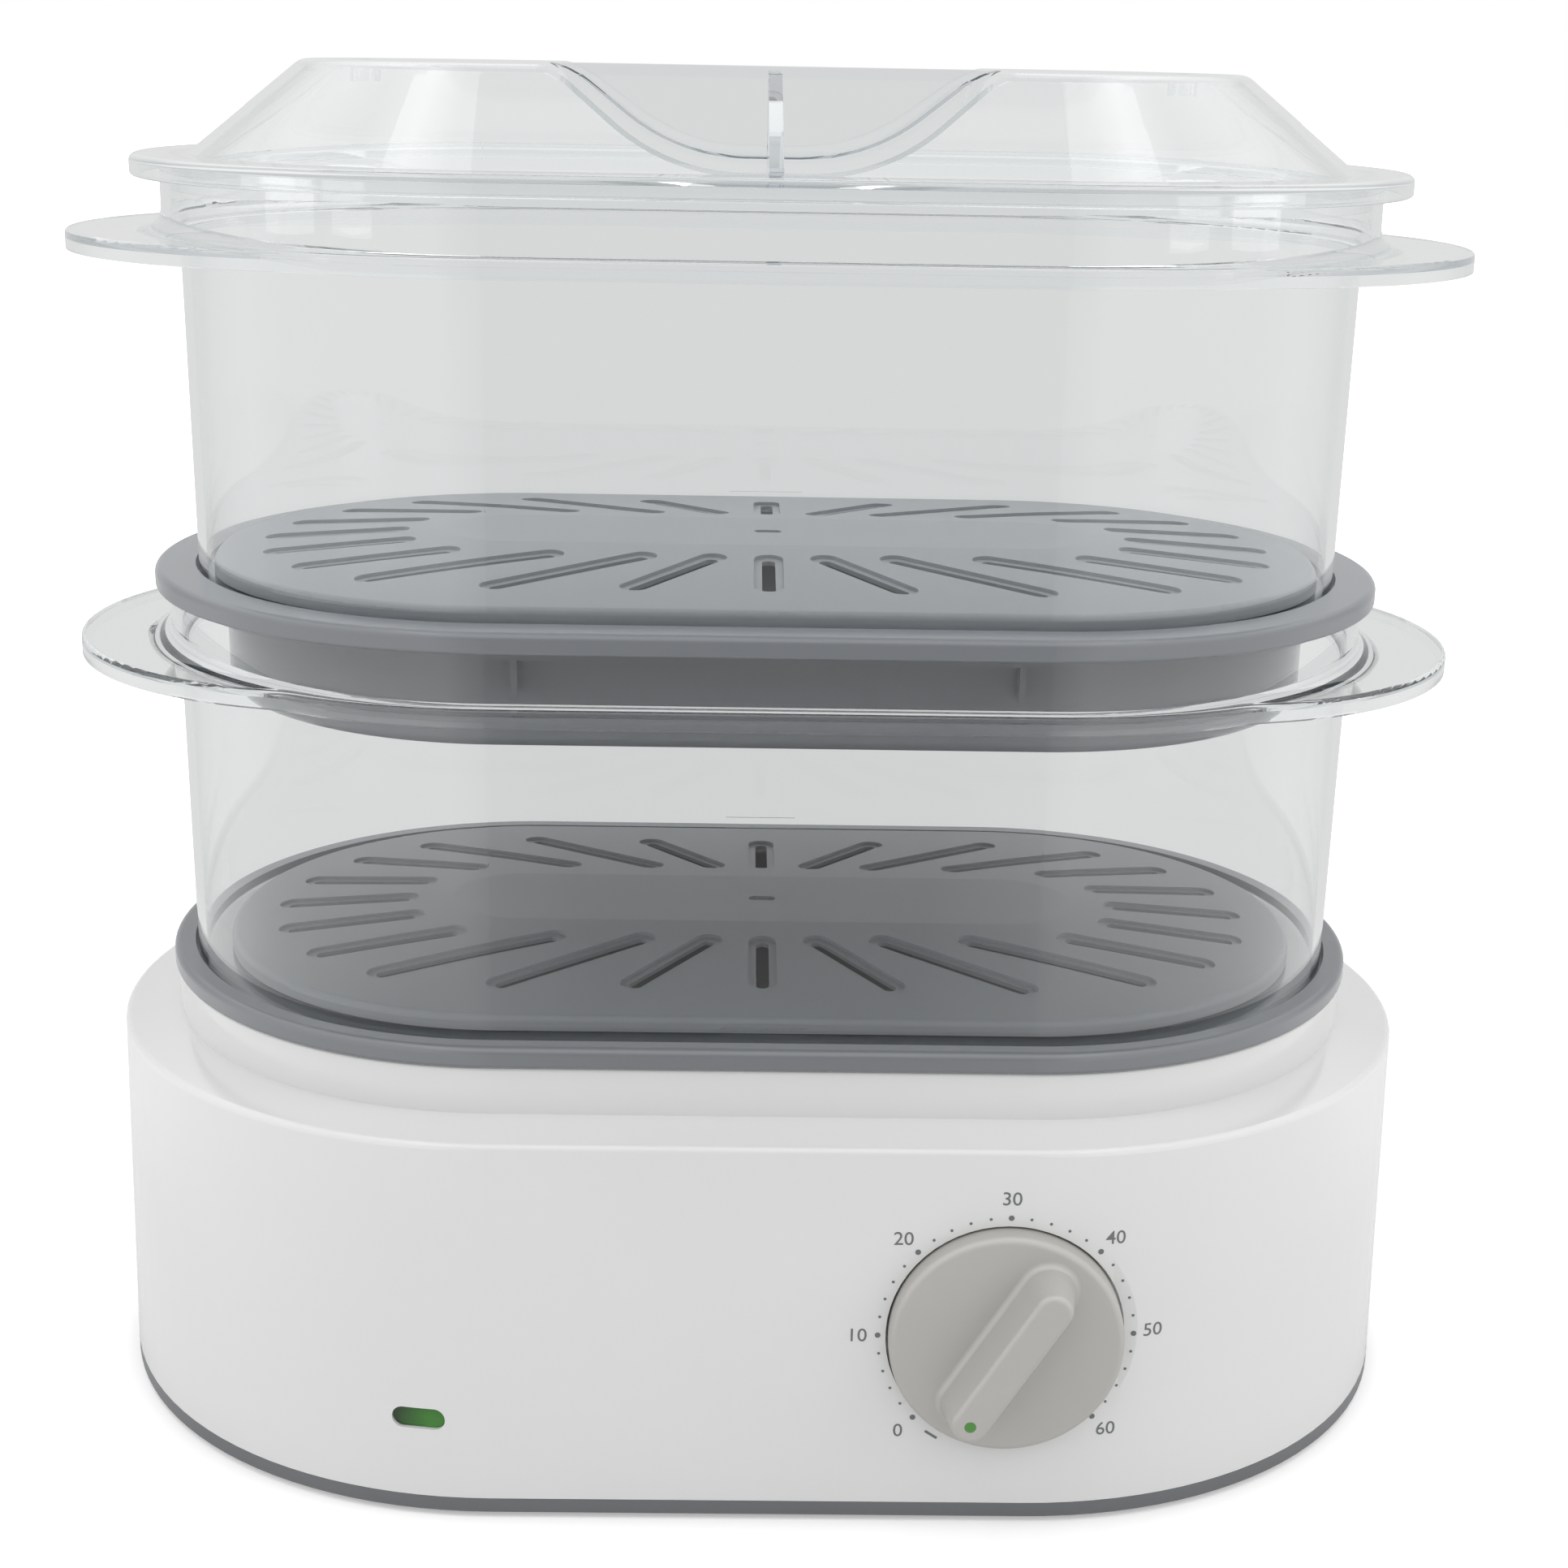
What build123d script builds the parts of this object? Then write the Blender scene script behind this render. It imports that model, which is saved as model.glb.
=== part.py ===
from build123d import *
import os
from math import asin, atan2, cos, degrees, radians, sin, tan

os.makedirs("parts", exist_ok=True)

# Electric food steamer, standing on z = 0, with its front towards -Y and its long side along X.
# Every main piece is a stadium: two half circles joined by two straights. All of them share the
# straight, so a piece is told by its radius, which is also half its depth.

# ---- Fits ------------------------------------------------------------------------------------
seam = 0.1              # between fixed pieces that are screwed or pushed together
seat_gap = 0.2          # under a piece that is lifted off
running_gap = 0.05      # radial, at the timer shaft
loose_gap = 0.8         # round a basket foot in its recess

# ---- Base ------------------------------------------------------------------------------------
half_straight = 63.0
shoulder_radius = 102.0
housing_draft = 1.5     # how much wider the housing is at its bottom than at its shoulder
housing_wall = 2.5
foot_stand = 1.5        # air between the table and the bottom cover
cover_thickness = 3.5
shoulder_height = 95.0
shoulder_rise = 1.7     # from the shoulder's edge up to the foot of the collar
shoulder_round = 1.6
collar_radius = 88.0
collar_rise = 11.4      # from the foot of the collar to its top
collar_wall = 1.8

# ---- Tiers: each has a drip tray, a basket and a plate ------------------------------------------
tier_pitch = 97.6
moulded_sheet = 1.8     # wall of trays, lid and basket floor
rim_radius = 89.0       # grey ring of a drip tray
rim_height = 5.0
rim_wall = 1.8
rim_round = 1.7
locating_depth = 2.8    # wall under the ring that drops inside the collar below
pan_radius = 72.0
pan_depth = 26.0
pan_round = 5.0
chimney_radius = 40.0
chimney_height = 22.0
chimney_flange = 3.0     # sticks out over the hole in the pan's floor
gusset_place = 57.0
gusset_width = 1.4
gusset_height = 12.0
gusset_gap = 1.0        # between a gusset and the tub or basket wall round it

basket_wall = 2.0
ear_height = 85.0       # top of the ears above the lower edge of the tray's ring
lower_foot_radius = 83.0
lower_brim_radius = 88.0
lower_collar_radius = 85.5
lower_ear_reach = 171.3
upper_foot_radius = 78.4
upper_brim_radius = 85.2
upper_collar_radius = 83.2
upper_ear_reach = 169.3
basket_flare = 0.8      # how much wider a basket is at its brim than at its foot
ear_radius = 75.5
ear_blend = 30.0
lip_depth = 4.5
lip_wall = 2.0
brim_plate = 2.0
brim_round = 0.9
cove_radius = 6.0        # hollow curve where the collar meets the ears
cove_narrower = 4.0      # its foot is this much narrower than the collar, so it fades out along the sides
foot_opening_radius = 69.0
foot_round = 1.6
foot_pad_width = 20.4   # locating pad on the foot, front and back
foot_pad_stand = 0.5
foot_pad_rise = 3.3     # above the tray's ring

plate_radius = 74.6
plate_rim_height = 3.8
plate_sheet = 2.0
plate_crown = 4.0
crown_radius = 18.0     # flat middle of the plate
plate_round = 1.8
slot_width = 3.2
slot_inset = 2.4        # from the dish's end to the slot's end
dish_width = 7.0
dish_depth = 0.9
slot_inner_radius = 27.0
slot_outer_half = 68.0  # the slots' outer ends lie on a stadium of their own
slot_outer_radius = 58.5
slot_outer_stations = (0, 33, 66, 97, 119, 140)    # way along the outline from its middle
slot_inner_stations = (0, 11.5, 27.5, 49.5, 75, 92)
dimple_length = 7.0
dimple_width = 3.6
dimple_depth = 0.6

# ---- Lid -------------------------------------------------------------------------------------
lid_rim_radius = 90.0
dome_foot_radius = 76.5
dome_top_radius = 49.5
lid_height = 26.7       # top of the dome above the lower edge of the lid's rim
dome_drop = 2.6         # wall of the dome, measured straight down
dome_round = 5.0
scoop_depth = 21.2      # below the top
scoop_flat_half = 7.0
scoop_floor_radius = 46.0
scoop_flank = 38.0      # degrees
scoop_lip_radius = 18.6
scoop_lip_stand = 0.3   # the rounded lip runs out this far above the top
scoop_clear = 8.0       # how far the scoop's cutter stands above the top
web_half = 8.0          # half the thickness of the grip between the scoops
rib_width = 3.2
rib_drop = 1.0           # from the lid's top down to the rib's top
vent_place = 98.0
vent_radius = 2.0
vent_nozzle_radius = 3.6
vent_nozzle_length = 3.0

# ---- Water tank and heater -------------------------------------------------------------------
tank_flange_radius = 86.0
tank_flange_drop = 3.0  # from the collar's top to the flange's top
tank_flange_thickness = 2.0
tank_wall = 2.0
tub_radius = 81.5
ledge_radius = 82.0     # inner edge of the housing's ledge under the flange
ledge_thickness = 2.2
well_radius = 52.0
tub_floor_top = 74.0
well_floor_top = 24.0
heater_opening = 27.0
heater_sheet = 1.0
dish_radius = 26.2
dish_rise = 1.5         # the heater's face above the tank floor
heater_flange_radius = 33.0
gasket_thickness = 1.5
clamp_thickness = 1.5
clamp_inner_radius = 23.0
clamp_outer_radius = 45.0
heater_screw_circle = 39.5
heater_screws_round = 3
first_heater_screw = 90.0   # degrees
heater_boss_radius = 4.5
element_radius = 18.0
element_tube = 3.2
element_gap_angle = 40.0
element_pin_radius = 2.0
element_pin_bottom = 13.0
thermostat_radius = 8.0
thermostat_height = 7.0
fuse_radius = 2.0
fuse_length = 14.0
fuse_place = 34.0
steam_ring_radius = 33.0
steam_ring_wall = 1.8
steam_ring_top = 76.0
steam_ring_notch_width = 16.0
steam_ring_notch_height = 9.0

# ---- Timer and its knob ------------------------------------------------------------------------
knob_x = 57.2
knob_z = 48.6
knob_radius = 27.3
knob_recess_gap = 0.6
knob_back_gap = 0.5
dial_recess = 2.6       # floor of the round recess behind the shoulder's front line
dial_pad_thickness = 2.8
dial_pad_radius = 31.0
knob_disc_thickness = 7.6
knob_wall = 2.0
knob_edge = 1.6
knob_hub_radius = 6.0
grip_length = 46.0
grip_width = 12.2
grip_height = 11.4
grip_draft = 9.5        # degrees
grip_round = 1.4
grip_blend = 1.6        # where the grip grows out of the disc
off_angle = 32.0        # pointer at rest, degrees from straight down, clockwise from the front
marker_radius = 1.3
marker_depth = 0.6
marker_place = 16.9
shaft_radius = 3.0
shaft_chamfer = 0.5
shaft_engagement = 9.0
shaft_hole_gap = 1.5
timer_width = 44.0
timer_depth = 28.0
timer_corner = 5.0
timer_screw_place = 19.0
bell_radius = 17.0
bell_depth = 5.0
bell_sheet = 0.8
timer_pin_place = 7.0
timer_pin_stagger = 3.0
timer_pin_size = 2.4
timer_pin_length = 5.0

# ---- Indicator -------------------------------------------------------------------------------
lens_from_end = 16.5    # beyond the end of the straight, to the left
lens_z = 25.2
lens_length = 12.8
lens_height = 5.4
lens_gap = 0.15
lens_recess = 1.0
lens_flange_gap = 0.7   # the wall behind the lens is curved
lens_flange = 1.8       # sticks out round the lens behind the wall
lens_flange_thickness = 1.8
lamp_radius = 3.0
lamp_length = 14.0
socket_wall = 1.2
socket_length = 7.0

# ---- Mains entry -----------------------------------------------------------------------------
entry_x = -30.0
entry_z = 20.0
cord_bore_radius = 3.6
gland_neck_radius = 6.0
gland_flange_radius = 8.5
gland_flange_thickness = 2.5
gland_inner_flange = 2.0
gland_tail = 6.0
gland_gap = 0.25        # the wall leans, the gland's flanges don't
clamp_gap = 9.0         # from the gland's tail to the clamp
clamp_length = 28.0
clamp_width = 9.0
clamp_height = 9.5
clamp_screw_place = 9.5
cord_clearance = 0.3
block_gap = 5.0         # from the clamp to the terminal block
block_length = 34.0
block_width = 11.0
block_height = 12.0
block_pitch = 10.0
block_chamfer = 0.8
lead_radius = 1.2
lead_height = 8.5       # middle of the leads above the table, where they lie over the cover
heater_lead_bends = (6.0, 5.0, 3.0)
timer_lead_bends = (12.0, 14.0, 20.0, 20.0, 5.0)

# ---- Screws and feet ---------------------------------------------------------------------------
screw_radius = 1.6
screw_head_radius = 3.2
screw_head_height = 1.9
screw_slot = 0.8
screw_cross = 4.2
screw_hole_gap = 0.1
column_radius = 5.0     # screw columns of the housing
column_place = 91.0
column_angle = 45.0
column_pilot_depth = 14.0
cover_screw_length = 12.0
foot_radius = 7.5
foot_thickness = 3.2
foot_along = 84.0
foot_across = 62.0
cover_rib_wall = 1.8
cover_rib_height = 3.5

# ---- Heights and places worked out from the above ------------------------------------------------
cover_top = foot_stand + cover_thickness
housing_bottom = cover_top + seam
collar_foot = shoulder_height + shoulder_rise
collar_top = collar_foot + collar_rise
lower_edge = collar_top + seat_gap
upper_edge = lower_edge + tier_pitch
lid_edge = upper_edge + tier_pitch
lid_top = lid_edge + lid_height
flange_top = collar_top - tank_flange_drop
flange_bottom = flange_top - tank_flange_thickness
bottom_radius = shoulder_radius + housing_draft
grow = housing_draft / (shoulder_height - housing_bottom)


def wall_radius(height):
    """Outer radius of the drafted housing wall at a height."""
    return shoulder_radius + grow * (shoulder_height - height)


def slab(radius, low, high, mode=Mode.ADD):
    """A stadium with upright sides."""
    with BuildSketch(Plane.XY.offset(low)) as outline:
        SlotCenterToCenter(2 * half_straight, 2 * radius)
    extrude(outline.sketch, amount=high - low, mode=mode)


def band(outer, inner, low, high, mode=Mode.ADD):
    """An upright wall between two stadiums."""
    with BuildSketch(Plane.XY.offset(low)) as outline:
        SlotCenterToCenter(2 * half_straight, 2 * outer)
        SlotCenterToCenter(2 * half_straight, 2 * inner, mode=Mode.SUBTRACT)
    extrude(outline.sketch, amount=high - low, mode=mode)


def slope(low_radius, low, high_radius, high, mode=Mode.ADD):
    """A stadium whose radius changes evenly between two heights."""
    with BuildSketch(Plane.XY.offset(low)) as foot:
        SlotCenterToCenter(2 * half_straight, 2 * low_radius)
    with BuildSketch(Plane.XY.offset(high)) as head:
        SlotCenterToCenter(2 * half_straight, 2 * high_radius)
    loft([foot.sketch, head.sketch], ruled=True, mode=mode)


def level(part, height):
    """The edges that lie flat at a height."""
    return part.edges().filter_by_position(Axis.Z, height - seam / 10, height + seam / 10)


def finish(part, name):
    """Label a finished piece and write it."""
    part.label = name
    export_step(part, f"parts/{name}.step")
    print(f"{name}: {len(part.solids())} solid(s), {part.volume:.0f} mm3")


def screw(plane, length):
    """A pan-head screw: its head's underside lies in the plane, its shank goes the plane's way."""
    with BuildSketch(plane) as shank:
        Circle(screw_radius)
    extrude(shank.sketch, amount=length)
    with BuildSketch(plane) as head:
        Circle(screw_head_radius)
    extrude(head.sketch, amount=-screw_head_height)
    with BuildSketch(plane.offset(-screw_head_height)) as cross:
        Rectangle(screw_cross, screw_slot)
        Rectangle(screw_slot, screw_cross)
    extrude(cross.sketch, amount=screw_head_height / 2, mode=Mode.SUBTRACT)


column_shift = column_place * cos(radians(column_angle))
column_spots = [
    (side * (half_straight + column_shift), front * column_shift)
    for side in (-1, 1)
    for front in (-1, 1)
]
foot_spots = [
    (side * foot_along, front * foot_across) for side in (-1, 1) for front in (-1, 1)
] + [(0, 0)]

# ---- Front wall places ---------------------------------------------------------------------------
dial_floor_y = -(shoulder_radius - dial_recess)
pad_back_y = dial_floor_y + dial_pad_thickness
knob_back_y = dial_floor_y - knob_back_gap
knob_face_y = knob_back_y - knob_disc_thickness


def facing_front(y):
    """The upright plane through the knob's centre that faces the cook, at a depth."""
    return Plane(origin=(knob_x, y, knob_z), x_dir=(1, 0, 0), z_dir=(0, -1, 0))


lens_angle = asin(lens_from_end / wall_radius(lens_z))
lens_y = -wall_radius(lens_z) * cos(lens_angle)
lens_plane = Plane(
    origin=(-(half_straight + lens_from_end), lens_y, lens_z),
    x_dir=(cos(lens_angle), -sin(lens_angle), 0),
    z_dir=(-sin(lens_angle), -cos(lens_angle), 0),
)


def facing_back(y):
    """The upright plane through the mains entry that faces backwards, at a depth."""
    return Plane(origin=(entry_x, y, entry_z), x_dir=(-1, 0, 0), z_dir=(0, 1, 0))


entry_wall = wall_radius(entry_z)
gland_end = entry_wall + gland_gap + gland_flange_thickness
gland_start = entry_wall - housing_wall - gland_gap - gland_inner_flange - gland_tail
clamp_y = gland_start - clamp_gap - clamp_width / 2
block_y = clamp_y - clamp_width / 2 - block_gap - block_width / 2

# ---- Housing: one glossy shell with the shoulder and the collar ------------------------------------
with BuildPart() as base_housing:
    slope(bottom_radius, housing_bottom, shoulder_radius, shoulder_height)
    slope(shoulder_radius, shoulder_height, collar_radius, collar_foot)
    slab(collar_radius, collar_foot, collar_top)
    fillet(level(base_housing, shoulder_height), shoulder_round)
    fillet(level(base_housing, collar_top), collar_wall / 2)
    slope(
        bottom_radius - housing_wall,
        housing_bottom,
        shoulder_radius - housing_wall,
        shoulder_height - housing_wall,
        mode=Mode.SUBTRACT,
    )
    slab(ledge_radius, housing_bottom, collar_top, mode=Mode.SUBTRACT)
    slab(collar_radius - collar_wall, flange_bottom, collar_top, mode=Mode.SUBTRACT)
    band(
        collar_radius - collar_wall,
        ledge_radius,
        shoulder_height - housing_wall,
        flange_bottom - ledge_thickness,
        mode=Mode.SUBTRACT,
    )
    with BuildSketch(Plane.XY.offset(housing_bottom)) as columns:
        with Locations(*column_spots):
            Circle(column_radius)
    extrude(columns.sketch, amount=shoulder_height - housing_wall - housing_bottom)
    with BuildSketch(Plane.XY.offset(housing_bottom)) as pilots:
        with Locations(*column_spots):
            Circle(screw_radius + screw_hole_gap)
    extrude(pilots.sketch, amount=column_pilot_depth, mode=Mode.SUBTRACT)
    with BuildSketch(facing_front(pad_back_y)) as pad:
        Circle(dial_pad_radius)
    extrude(pad.sketch, amount=shoulder_radius - housing_wall / 2 + pad_back_y)
    with BuildSketch(facing_front(dial_floor_y)) as recess:
        Circle(knob_radius + knob_recess_gap)
    extrude(recess.sketch, amount=2 * dial_recess + housing_draft, mode=Mode.SUBTRACT)
    with BuildSketch(facing_front(dial_floor_y)) as shaft_hole:
        Circle(shaft_radius + shaft_hole_gap)
        with Locations((-timer_screw_place, 0), (timer_screw_place, 0)):
            Circle(screw_radius + screw_hole_gap)
    extrude(shaft_hole.sketch, amount=-dial_pad_thickness, mode=Mode.SUBTRACT)
    with BuildSketch(facing_front(dial_floor_y)) as head_pockets:
        with Locations((-timer_screw_place, 0), (timer_screw_place, 0)):
            Circle(screw_head_radius + screw_hole_gap)
    extrude(head_pockets.sketch, amount=-screw_head_height, mode=Mode.SUBTRACT)
    with BuildSketch(lens_plane) as window:
        SlotOverall(lens_length, lens_height)
    extrude(window.sketch, amount=2 * housing_wall, both=True, mode=Mode.SUBTRACT)
    with BuildSketch(facing_back(shoulder_radius - 2 * housing_wall)) as entry_hole:
        Circle(gland_neck_radius + seam)
    extrude(entry_hole.sketch, amount=4 * housing_wall, mode=Mode.SUBTRACT)
finish(base_housing.part, "base_housing")

# ---- Bottom cover: grey plate with a rib inside the housing and a saddle for the cord --------------
with BuildPart() as bottom_cover:
    slab(bottom_radius, foot_stand, cover_top)
    band(
        bottom_radius - housing_wall - 2 * seam,
        bottom_radius - housing_wall - 2 * seam - cover_rib_wall,
        cover_top,
        cover_top + cover_rib_height,
    )
    with BuildSketch(Plane.XY.offset(cover_top)) as saddle:
        with Locations((entry_x, clamp_y)):
            Rectangle(clamp_length, clamp_width)
    extrude(saddle.sketch, amount=entry_z - cord_bore_radius - cord_clearance - cover_top)
    with BuildSketch(Plane.XY.offset(foot_stand)) as sockets:
        with Locations(*foot_spots):
            Circle(foot_radius + seam)
    extrude(sockets.sketch, amount=foot_thickness - foot_stand, mode=Mode.SUBTRACT)
    with BuildSketch(Plane.XY.offset(foot_stand)) as head_wells:
        with Locations(*column_spots):
            Circle(screw_head_radius + screw_hole_gap)
    extrude(head_wells.sketch, amount=screw_head_height, mode=Mode.SUBTRACT)
    with BuildSketch(Plane.XY.offset(foot_stand)) as shank_holes:
        with Locations(*column_spots):
            Circle(screw_radius + screw_hole_gap)
    extrude(shank_holes.sketch, amount=cover_thickness, mode=Mode.SUBTRACT)
    with BuildSketch(Plane.XY.offset(cover_top)) as column_relief:
        with Locations(*column_spots):
            Circle(column_radius + 2 * seam)
    extrude(column_relief.sketch, amount=cover_rib_height, mode=Mode.SUBTRACT)
    with BuildSketch(Plane.XY.offset(cover_top)) as clamp_pilots:
        with Locations((entry_x - clamp_screw_place, clamp_y), (entry_x + clamp_screw_place, clamp_y)):
            Circle(screw_radius + screw_hole_gap)
    extrude(clamp_pilots.sketch, amount=entry_z - cover_top, mode=Mode.SUBTRACT)
finish(bottom_cover.part, "bottom_cover")

# ---- Feet: five rubber pads pushed into the cover ---------------------------------------------------
with BuildPart() as rubber_feet:
    with BuildSketch() as pads:
        with Locations(*foot_spots):
            Circle(foot_radius)
    extrude(pads.sketch, amount=foot_thickness - seam)
    chamfer(rubber_feet.edges().group_by(Axis.Z)[0], foot_stand / 3)
finish(rubber_feet.part, "rubber_feet")

with BuildPart() as cover_screws:
    for x, y in column_spots:
        screw(Plane(origin=(x, y, foot_stand + screw_head_height)), cover_screw_length)
finish(cover_screws.part, "cover_screws")

# ---- Water tank: a wide tub over a narrower well, hung by its flange in the collar ------------------
well_floor_bottom = well_floor_top - tank_wall
boss_bottom = well_floor_bottom - gasket_thickness - heater_sheet
with BuildPart() as water_tank:
    slab(tank_flange_radius, flange_bottom, flange_top)
    slab(tub_radius, tub_floor_top - tank_wall, flange_bottom)
    slab(well_radius, well_floor_bottom, tub_floor_top - tank_wall)
    fillet(level(water_tank, tub_floor_top - tank_wall).group_by(SortBy.LENGTH)[-1], 2 * tank_wall)
    slab(tub_radius - tank_wall, tub_floor_top, flange_top, mode=Mode.SUBTRACT)
    slab(well_radius - tank_wall, well_floor_top, tub_floor_top, mode=Mode.SUBTRACT)
    with BuildSketch(Plane.XY.offset(boss_bottom)) as bosses:
        with PolarLocations(heater_screw_circle, heater_screws_round, first_heater_screw):
            Circle(heater_boss_radius)
    extrude(bosses.sketch, amount=well_floor_bottom - boss_bottom)
    with BuildSketch(Plane.XY.offset(boss_bottom)) as boss_pilots:
        with PolarLocations(heater_screw_circle, heater_screws_round, first_heater_screw):
            Circle(screw_radius + screw_hole_gap)
    extrude(boss_pilots.sketch, amount=well_floor_bottom - boss_bottom + tank_wall / 2, mode=Mode.SUBTRACT)
    with BuildSketch(Plane.XY.offset(well_floor_bottom)) as heater_hole:
        Circle(heater_opening)
    extrude(heater_hole.sketch, amount=tank_wall, mode=Mode.SUBTRACT)
finish(water_tank.part, "water_tank")

# ---- Heater: steel dish on a gasket, held up against the tank floor by a clamp ring -----------------
dish_face = well_floor_top + dish_rise
with BuildPart() as heater_dish:
    with BuildSketch(Plane.XY.offset(boss_bottom)) as dish_flange:
        Circle(heater_flange_radius)
    extrude(dish_flange.sketch, amount=heater_sheet)
    with BuildSketch(Plane.XY.offset(boss_bottom)) as dish_body:
        Circle(dish_radius)
    extrude(dish_body.sketch, amount=dish_face - boss_bottom)
    fillet(heater_dish.edges().group_by(Axis.Z)[-1], 2 * heater_sheet)
    with BuildSketch(Plane.XY.offset(boss_bottom)) as dish_inside:
        Circle(dish_radius - heater_sheet)
    extrude(dish_inside.sketch, amount=dish_face - heater_sheet - boss_bottom, mode=Mode.SUBTRACT)
finish(heater_dish.part, "heater_dish")

with BuildPart() as heater_gasket:
    with BuildSketch(Plane.XY.offset(well_floor_bottom - gasket_thickness)) as seal:
        Circle(heater_flange_radius)
        Circle(dish_radius + seam, mode=Mode.SUBTRACT)
    extrude(seal.sketch, amount=gasket_thickness)
finish(heater_gasket.part, "heater_gasket")

with BuildPart() as heater_clamp:
    with BuildSketch(Plane.XY.offset(boss_bottom - clamp_thickness)) as clamp_ring:
        Circle(clamp_outer_radius)
        Circle(clamp_inner_radius, mode=Mode.SUBTRACT)
        with PolarLocations(heater_screw_circle, heater_screws_round, first_heater_screw):
            Circle(screw_radius + screw_hole_gap, mode=Mode.SUBTRACT)
    extrude(clamp_ring.sketch, amount=clamp_thickness)
finish(heater_clamp.part, "heater_clamp")

with BuildPart() as heater_screws:
    for spot in PolarLocations(heater_screw_circle, heater_screws_round, first_heater_screw).local_locations:
        screw_foot = (spot.position.X, spot.position.Y, boss_bottom - clamp_thickness)
        screw(Plane(origin=screw_foot), clamp_thickness + tank_wall)
finish(heater_screws.part, "heater_screws")

element_height = dish_face - heater_sheet - seam - element_tube
element_start = 90 + element_gap_angle / 2
element_ends = [
    (element_radius * cos(radians(a)), element_radius * sin(radians(a)))
    for a in (element_start, 180 - element_start)
]
with BuildPart() as heating_element:
    with BuildLine(Plane.XY.offset(element_height)) as loop:
        CenterArc((0, 0), element_radius, element_start, 360 - element_gap_angle)
    with BuildSketch(Plane(origin=loop.line @ 0, z_dir=loop.line % 0)) as tube:
        Circle(element_tube)
    sweep(tube.sketch, path=loop.line)
    with BuildSketch(Plane.XY.offset(element_pin_bottom)) as pins:
        with Locations(*element_ends):
            Circle(element_pin_radius)
    extrude(pins.sketch, amount=element_height - element_pin_bottom)
finish(heating_element.part, "heating_element")

thermostat_top = dish_face - heater_sheet - seam
with BuildPart() as thermostat:
    with BuildSketch(Plane.XY.offset(thermostat_top - thermostat_height)) as can:
        Circle(thermostat_radius)
    extrude(can.sketch, amount=thermostat_height)
    with BuildSketch(Plane.XY.offset(element_pin_bottom)) as blades:
        with Locations((-thermostat_radius / 2, 0), (thermostat_radius / 2, 0)):
            Rectangle(heater_sheet, thermostat_radius / 2)
    extrude(blades.sketch, amount=thermostat_top - thermostat_height - element_pin_bottom)
finish(thermostat.part, "thermostat")

fuse_plane = Plane(
    origin=(-fuse_length / 2, -fuse_place, boss_bottom - clamp_thickness - seam - fuse_radius),
    z_dir=(1, 0, 0),
)
with BuildPart() as thermal_fuse:
    with BuildSketch(fuse_plane) as fuse_section:
        Circle(fuse_radius)
    extrude(fuse_section.sketch, amount=fuse_length)
    chamfer(thermal_fuse.edges(), fuse_radius / 4)
finish(thermal_fuse.part, "thermal_fuse")

# ---- Steam ring: loose tube round the heater that makes it boil quickly -----------------------------
ring_seat = well_floor_top + seat_gap
with BuildPart() as steam_ring:
    with BuildSketch(Plane.XY.offset(ring_seat)) as ring_wall:
        Circle(steam_ring_radius)
        Circle(steam_ring_radius - steam_ring_wall, mode=Mode.SUBTRACT)
    extrude(ring_wall.sketch, amount=steam_ring_top - ring_seat)
    for turn in (0, 90):
        notch_plane = Plane.XZ.rotated((0, 0, turn)).offset(-steam_ring_radius - steam_ring_wall)
        with BuildSketch(notch_plane) as notch:
            with Locations((0, ring_seat)):
                Rectangle(steam_ring_notch_width, 2 * steam_ring_notch_height)
        extrude(notch.sketch, amount=2 * (steam_ring_radius + steam_ring_wall), mode=Mode.SUBTRACT)
finish(steam_ring.part, "steam_ring")


# ---- Drip trays ----------------------------------------------------------------------------------
def drip_tray(edge, foot_radius):
    """A grey ring with a recess for the basket's foot, and a pan with a hole for the chimney."""
    recess_radius = foot_radius + loose_gap
    locating_radius = recess_radius + moulded_sheet
    with BuildPart() as tray:
        slab(rim_radius, edge, edge + rim_height)
        fillet(level(tray, edge + rim_height), rim_round)
        fillet(level(tray, edge), rim_wall / 2)
        band(rim_radius - rim_wall, locating_radius, edge, edge + rim_height - moulded_sheet,
             mode=Mode.SUBTRACT)
        band(locating_radius, recess_radius, edge - locating_depth, edge)
        slab(pan_radius, edge - pan_depth, edge)
        fillet(level(tray, edge - pan_depth), pan_round)
        with BuildSketch(Plane.XY.offset(edge - gusset_height)) as gussets:
            with Locations((-gusset_place, 0), (gusset_place, 0)):
                Rectangle(gusset_width, 2 * (tub_radius - tank_wall - gusset_gap))
        extrude(gussets.sketch, amount=gusset_height)
        slab(recess_radius, edge + moulded_sheet, edge + rim_height, mode=Mode.SUBTRACT)
        slab(pan_radius - moulded_sheet, edge - pan_depth + moulded_sheet, edge + moulded_sheet,
             mode=Mode.SUBTRACT)
        with BuildSketch(Plane.XY.offset(edge - pan_depth)) as hole:
            Circle(chimney_radius + moulded_sheet + seam)
        extrude(hole.sketch, amount=2 * moulded_sheet, mode=Mode.SUBTRACT)
    return tray.part


def chimney(edge):
    """The short tube that is pushed into the pan's floor and lets the steam up past the drips."""
    with BuildPart() as tube:
        with BuildSketch(Plane.XY.offset(edge - pan_depth)) as outside:
            Circle(chimney_radius + moulded_sheet)
        extrude(outside.sketch, amount=chimney_height)
        with BuildSketch(Plane.XY.offset(edge - pan_depth + moulded_sheet + seam)) as flange:
            Circle(chimney_radius + moulded_sheet + chimney_flange)
        extrude(flange.sketch, amount=moulded_sheet / 2)
        with BuildSketch(Plane.XY.offset(edge - pan_depth)) as bore:
            Circle(chimney_radius)
        extrude(bore.sketch, amount=chimney_height, mode=Mode.SUBTRACT)
    return tube.part


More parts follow.
